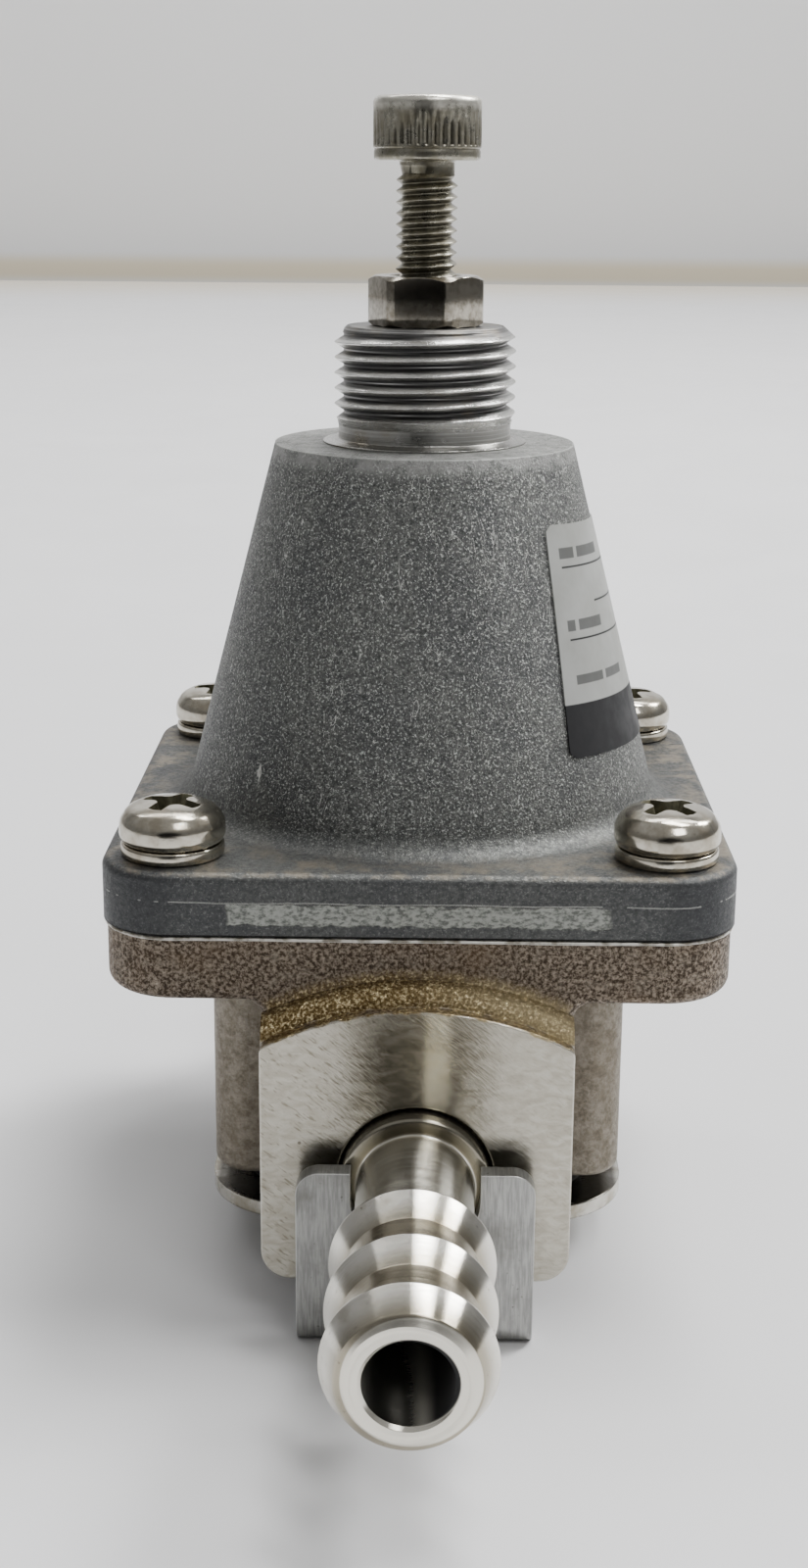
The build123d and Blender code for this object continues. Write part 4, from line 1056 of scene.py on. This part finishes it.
def build_lock_nut(metal):
    """M4 nut: chamfered corners on both ends."""
    segments = 180
    low, high = NECK_TOP, NECK_TOP + NUT_HEIGHT
    shape = hexagon_radius(NUT_ACROSS_FLATS, math.radians(NUT_TURN), NUT_CORNER_R)
    slope = math.tan(math.radians(32))
    top_r, low_r = 3.36, 3.5

    def trimmed(a):
        return shape(a) - 0.02

    def rise(a):
        return low + max(0.0, shape(a) - low_r) * slope

    def fall(a):
        return high - max(0.0, shape(a) - top_r) * slope

    section = ((BORE_R, low), (low_r, low), (trimmed, rise), (shape, lambda a: rise(a) + 0.05),
               (shape, lambda a: fall(a) - 0.05), (trimmed, fall), (top_r, high), (2.45, high),
               (BORE_R, high - 0.35), (BORE_R, low))
    verts, faces = ring_grid([ring(r, z, segments) for r, z in section], segments)
    nut = new_object("lock_nut_detail", verts, faces, 25.0)
    return add_piece(nut, "nut", "bright_nickel", metal, "lock_nut")


def cross_cutter(name, span, width, depth, lobe, top):
    """A tapering cruciform plug whose inner corners are rounded, for cutting a recess."""
    outline = []
    for quarter in range(4):
        turn = Matrix.Rotation(quarter * math.pi / 2, 2)
        points = [(span / 2, -width / 2), (span / 2 + 0.12, 0.0), (span / 2, width / 2)]
        centre = Vector((width / 2 + lobe, width / 2 + lobe))
        for step in range(7):
            a = -math.pi / 2 - step / 6 * math.pi / 2
            points.append((centre.x + lobe * math.cos(a), centre.y + lobe * math.sin(a)))
        outline += [tuple(turn @ Vector(p)) for p in points]
    levels = ((0.6, 1.18), (0.0, 1.0), (-depth, 0.52))
    rows = [[(x * k, y * k, top + z) for x, y in outline] for z, k in levels]
    verts, faces = ring_grid(rows, len(outline))
    count = len(outline)
    faces.append(tuple(range(count)))
    faces.append(tuple(range(2 * count, 3 * count)))
    return new_object(name, verts, faces)


def carve(obj, tool, outer, inner):
    """Cuts tool out of obj; the walls it leaves take the inner material."""
    for piece in (obj, tool):
        piece.data.materials.append(outer)
        piece.data.materials.append(inner)
    tool.data.polygons.foreach_set("material_index", [1] * len(tool.data.polygons))
    modifier = obj.modifiers.new("carve", "BOOLEAN")
    modifier.object = tool
    modifier.operation = "DIFFERENCE"
    modifier.solver = "EXACT"
    bpy.context.view_layer.update()
    graph = bpy.context.evaluated_depsgraph_get()
    carved = bpy.data.meshes.new_from_object(obj.evaluated_get(graph))
    obj.modifiers.clear()
    obj.data = carved
    tool_mesh = tool.data
    bpy.data.objects.remove(tool)
    bpy.data.meshes.remove(tool_mesh)
    return obj


def build_pan_screws(metal, darkening):
    """Four domed pan-head screws with cross recesses, each turned its own way."""
    seat = FLANGE_TOP + WASHER_T
    profile = rounded([
        (POLE_R, seat + 2.52),
        (1.2, seat + 2.50),
        (2.2, seat + 2.36),
        (2.85, seat + 2.05, 0.9),
        (3.33, seat + 1.35, 1.2),
        (3.35, seat + 0.45, 0.5),
        (3.14, seat + 0.03, 0.15),
        (1.75, seat + 0.03),
        (1.75, 21.7, 0.2),
        (POLE_R, 21.7),
    ], 6)
    master = lathe("master", profile, 96, 40.0)
    tool = cross_cutter("cutter", 3.8, 1.0, 1.7, 0.5, seat + 2.45)
    carve(master, tool, metal, darkening)
    tidy_mesh(master.data, 38.0)
    copies = []
    half = SCREW_SPACING / 2 * MM
    for x, y, turn, _ in FLANGE_SCREWS:
        copy = add_object("copy", master.data.copy())
        place(copy, Matrix.Translation((x * half, y * half, 0)) @
              Matrix.Rotation(math.radians(turn), 4, "Z"))
        copies.append(copy)
    bpy.data.objects.remove(master)
    screws = join("bonnet_screws_detail", copies)
    return add_piece(screws, "housing", "bright_nickel", metal, "bonnet_screws", inside=darkening)


def build_spring_washers(metal):
    """Four flattened spring washers, split at the back."""
    section = rounded([(1.85, 0.04, 0.1), (3.24, 0.0, 0.26), (3.27, 0.45), (3.24, 0.86, 0.26),
                       (1.85, 0.84, 0.1)], 4)
    steps = 72
    gap = math.radians(9)
    half = SCREW_SPACING / 2
    coils = []
    for index, (x, y, _, turn) in enumerate(FLANGE_SCREWS):
        rows = []
        for step in range(steps + 1):
            a = math.radians(turn) + gap / 2 + (TAU - gap) * step / steps
            rows.append([(x * half + r * math.cos(a), y * half + r * math.sin(a), FLANGE_TOP + z)
                         for r, z in section])
        verts, faces = ring_grid(rows, len(section))
        faces.append(tuple(range(len(section))))
        faces.append(tuple(steps * len(section) + i for i in range(len(section))))
        coils.append(new_object(f"coil_{index}", verts, faces, 40.0))
    washers = join("spring_washers_detail", coils)
    return add_piece(washers, "housing", "bright_nickel", metal, "spring_washers")


def build_barb(side, name, body, node, metal):
    """A turned hose barb; side is -1 for the outlet and 1 for the inlet."""
    points = [
        (BARB_BORE_R, 15.4), (4.63, 15.4), (4.88, 15.65), (4.88, 17.4), (3.5, 17.4), (3.5, 19.2),
        (4.88, 19.2), (4.88, 21.4), (4.7, 21.6), (4.7, BARB_COLLAR_END, 0.3),
        (BARB_SHAFT_R, BARB_COLLAR_END, 0.12),
    ]
    valley = BARB_SHAFT_R
    for crest in BARB_CRESTS:
        points += [(valley, crest - 0.02, 0.1), (BARB_RIB_R, crest, 0.07),
                   (BARB_RIB_R, crest + 0.16, 0.06), (BARB_VALLEY_R, crest + 1.95, 0.25)]
        valley = BARB_VALLEY_R
    points[-1] = (BARB_VALLEY_R, BARB_END - 0.28, 0.12)
    points += [(3.45, BARB_END, 0.05), (2.72, BARB_END, 0.06), (BARB_BORE_R, BARB_END - 0.2)]
    barb = lathe(name, rounded(points, 4), 144, 40.0)
    turn = Matrix.Rotation(math.radians(-90 * side), 4, "X")
    seat = Matrix.Translation((0, side * BARB_SEAT_Y * MM, PORT_Z * MM))
    lean = Matrix.Rotation(math.radians(-BARB_LEAN), 4, "Z")
    droop = Matrix.Rotation(math.radians(BARB_DROOP * -side), 4, "X")
    place(barb, turn)
    place(barb, seat @ lean @ droop @ Matrix.Translation((0, -side * BARB_SEAT_Y * MM, 0)))
    return add_piece(barb, body, "barb_nickel", metal, node)


def build_label(film):
    """A sheet wrapped on the cone, slightly askew, with rounded corners."""
    width = math.radians(LABEL_ARC)
    across, up = 72, 36
    verts, uvs = [], []
    for lift in (LABEL_T, 0.0):
        for j in range(up + 1):
            v = LABEL_H * j / up
            into = max(0.0, LABEL_CORNER - v, LABEL_CORNER - (LABEL_H - v))
            inset = LABEL_CORNER - math.sqrt(max(0.0, LABEL_CORNER ** 2 - into ** 2))
            for i in range(across + 1):
                share = i / across
                a0 = math.radians(LABEL_LEFT_LOW + (LABEL_LEFT_TOP - LABEL_LEFT_LOW) * v / LABEL_H)
                z = LABEL_LOW + v * LABEL_STRETCH - LABEL_TILT * math.sin(share * width)
                radius = CONE_BASE_R - CONE_SLOPE * (z - FLANGE_TOP) + 0.005 + lift
                arc = inset + (width * radius - 2 * inset) * share
                a = a0 + arc / radius - math.pi / 2
                verts.append((radius * math.cos(a), radius * math.sin(a), z))
                uvs.append((arc, v))
    mesh = bpy.data.meshes.new("label_sheet")
    mesh.from_pydata([tuple(c * MM for c in p) for p in verts], [], slab_faces(up, across))
    layer = mesh.uv_layers.new(name="label_mm")
    for loop in mesh.loops:
        layer.data[loop.index].uv = uvs[loop.vertex_index]
    mesh.polygons.foreach_set("use_smooth", [True] * len(mesh.polygons))
    mesh.set_sharp_from_angle(angle=math.radians(40))
    mesh.validate()
    sheet = add_object("label_sheet", mesh)
    return add_piece(sheet, "housing", "label_film", film, "label")


def build_spring(node, name, metal):
    """A copy of a CAD coil with the wire material, standing in for the hidden CAD part."""
    coil = cad_copy(node, name)
    coil.modifiers.clear()
    coil.data.materials.clear()
    coil.data.materials.append(metal)
    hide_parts(node)
    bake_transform(coil)
    return coil


def build_diaphragm(material):
    """The rubber disc in sectors, each a flat sheet from its hole to its clamped rim."""
    rise = (DIAPHRAGM_BOTTOM + DIAPHRAGM_T - DIAPHRAGM_SLIT, DIAPHRAGM_BOTTOM + DIAPHRAGM_SLIT)
    steps = 6
    radii = [DIAPHRAGM_HOLE_R, 6.0, DIAPHRAGM_MOVING_R]
    radii += [DIAPHRAGM_MOVING_R + (DIAPHRAGM_HELD_R - DIAPHRAGM_MOVING_R) * k / 8
              for k in range(1, 9)]
    radii.append(DIAPHRAGM_R)
    faces = slab_faces(len(radii) - 1, steps)
    for sector in range(DIAPHRAGM_SECTORS):
        middle = TAU * (sector + 0.5) / DIAPHRAGM_SECTORS
        half = math.pi / DIAPHRAGM_SECTORS
        verts = []
        for z in rise:
            for r in radii:
                spread = half - DIAPHRAGM_SLIT / r
                verts += [(r * math.cos(middle + spread * (2 * j / steps - 1)),
                           r * math.sin(middle + spread * (2 * j / steps - 1)), z)
                          for j in range(steps + 1)]
        petal = new_object(f"diaphragm_sector_{sector + 1:02d}", verts, faces, 40.0)
        petal.data.materials.append(material)
        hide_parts("diaphragm")
        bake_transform(petal)


# --- floor, lights and camera
def build_stage():
    """A pale table whose far edge stands a little before a pale wall."""
    near, far, wall_at = -2200, 1345, 1400
    verts = [(-2500, near, 0), (2500, near, 0), (2500, far, 0), (-2500, far, 0)]
    floor = new_object("floor", verts, [(0, 1, 2, 3)])
    s = Surface("pale_table", (226, 226, 227), 0.0, 0.5)
    pale = s.mix(s.noise(0.012, 3.0), (217, 217, 218), (225, 225, 226))
    # Painted shadow on the table where whoever took the picture stands
    bearing = s.size_of(s.plus(s.math("DIVIDE", s.x, s.y), FLOOR_SHADE_BEARING))
    shade = s.times(s.step(s.y, -130, -230, 0.0, FLOOR_NEAR_SHADE),
                    s.step(bearing, 0.40, 0.28))
    pale = s.mix(s.step(s.y, 1080, far, 0.0, 0.8), pale, (214, 204, 184))
    s.feed("Base Color", s.mix(shade, pale, (40, 40, 40)))
    s.feed("Roughness", s.step(s.noise(0.05), 0.3, 0.7, 0.42, 0.55))
    floor.data.materials.append(s.material)

    verts = [(-3000, wall_at, -300), (3000, wall_at, -300), (3000, wall_at, 2500),
             (-3000, wall_at, 2500)]
    wall = new_object("wall", verts, [(0, 1, 2, 3)])
    w = Surface("pale_wall", (222, 222, 222), 0.0, 0.8)
    band = w.times(w.step(w.z, -6, 3), w.step(w.z, 19, 8))
    w.feed("Base Color", w.mix(band, (222, 222, 222), (214, 203, 180)))
    wall.data.materials.append(w.material)


def area_light(name, place_at, target, size, power):
    """A rectangular soft light at place_at aimed at target, in metres."""
    data = bpy.data.lights.new(name, "AREA")
    data.shape = "RECTANGLE"
    data.size, data.size_y = size
    data.energy = power
    light = add_object(name, data)
    light.location = place_at
    aim = Vector(target) - Vector(place_at)
    light.rotation_mode = "QUATERNION"
    light.rotation_quaternion = aim.to_track_quat("-Z", "Y")


def build_world():
    """A soft grey room, darker towards the viewer's side."""
    world = bpy.data.worlds.new("room")
    bpy.context.scene.world = world
    world.use_nodes = True
    tree = world.node_tree
    background = tree.nodes["Background"]
    coord = tree.nodes.new("ShaderNodeTexCoord").outputs["Generated"]
    split = tree.nodes.new("ShaderNodeSeparateXYZ")
    tree.links.new(coord, split.inputs[0])

    def ramp(value, low, high, to_low, to_high):
        node = tree.nodes.new("ShaderNodeMapRange")
        node.interpolation_type = "SMOOTHSTEP"
        for key, number in (("From Min", low), ("From Max", high), ("To Min", to_low),
                            ("To Max", to_high)):
            node.inputs[key].default_value = number
        tree.links.new(value, node.inputs["Value"])
        return node.outputs[0]

    front = ramp(split.outputs[1], -0.95, -0.82, WORLD_FRONT, 1.0)
    high = ramp(split.outputs[2], 0.15, 0.8, WORLD_SIDE, WORLD_TOP)
    product = tree.nodes.new("ShaderNodeMath")
    product.operation = "MULTIPLY"
    tree.links.new(front, product.inputs[0])
    tree.links.new(high, product.inputs[1])
    tree.links.new(product.outputs[0], background.inputs["Strength"])
    background.inputs["Color"].default_value = (1.0, 1.0, 1.0, 1.0)


def build_camera():
    """The photograph's viewpoint: focal length, height, and small turns about each axis."""
    data = bpy.data.cameras.new("camera")
    camera = add_object("camera", data)
    bpy.context.scene.camera = camera
    data.sensor_width = 36.0
    data.lens = CAMERA_FOCAL
    data.clip_start = 0.01
    data.clip_end = 20.0
    pan, pitch, roll = (math.radians(a) for a in (CAMERA_PAN, CAMERA_PITCH, CAMERA_ROLL))
    forward = Vector((math.sin(pan) * math.cos(pitch), math.cos(pan) * math.cos(pitch),
                      -math.sin(pitch)))
    right = Vector((math.cos(pan), -math.sin(pan), 0))
    up = right.cross(forward)
    rolled_right = right * math.cos(roll) + up * math.sin(roll)
    rolled_up = up * math.cos(roll) - right * math.sin(roll)
    turn = Matrix((rolled_right, rolled_up, -forward)).transposed().to_4x4()
    yaw = Matrix.Rotation(math.radians(-CAMERA_YAW), 4, "Z")
    place_at = Matrix.Translation((0, -CAMERA_DISTANCE * MM, CAMERA_HEIGHT * MM))
    camera.matrix_world = yaw @ place_at @ turn


# --- the whole scene
body_metal = make_body_metal()
die_cast = make_die_cast()
neck_metal = make_neck_metal()
bright_nickel = make_bright_nickel()
recess_dark = make_dark_recess()
nut_plate = make_nut_plate()
aged_zinc = make_aged_zinc()
barb_metal = make_barb_metal()
burr_metal = make_burr_metal()
strap_metal = make_strap_aluminium()
cover_metal = make_cover_plate()
rubber = make_rubber()
brass = make_turned_brass()
wire = make_spring_steel()
film = make_label_film()

build_bonnet(die_cast)
build_neck(neck_metal)
build_flash(die_cast)
build_lip(burr_metal)
build_adjusting_screw(aged_zinc)
build_lock_nut(nut_plate)
build_pan_screws(bright_nickel, recess_dark)
build_spring_washers(bright_nickel)
build_barb(-1, "outlet_barb_turned", "outlet", "outlet_barb", barb_metal)
build_barb(1, "inlet_barb_turned", "inlet", "inlet_barb", barb_metal)
build_label(film)
add_piece(cad_copy("body", "body_casting"), "housing", "nickel_brass", body_metal, "body")
add_piece(cad_copy("retainer_strap", "strap_sheet"), "housing", "bare_aluminium", strap_metal,
          "retainer_strap")
add_piece(cad_copy("bottom_cover", "bottom_cover_plate"), "housing", "plated_cover", cover_metal,
          "bottom_cover")
build_spring("range_spring", "range_spring_coil", wire)
build_spring("valve_spring", "valve_spring_coil", wire)
build_diaphragm(rubber)

CARRIED = {
    "upper_spring_seat": brass, "diaphragm_plate": cover_metal,
    "diaphragm_washer": cover_metal, "diaphragm_hub": brass,
    "valve_poppet": brass, "valve_seal": rubber,
    "bottom_gasket": rubber, "cover_screws": bright_nickel, "outlet_o_ring": rubber,
    "inlet_o_ring": rubber, "strap_screw": bright_nickel,
}
for node, material in CARRIED.items():
    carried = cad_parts[node]
    carried.data.materials.clear()
    carried.data.materials.append(material)

build_stage()
build_world()
build_camera()
for light in LIGHTS:
    area_light(*light)
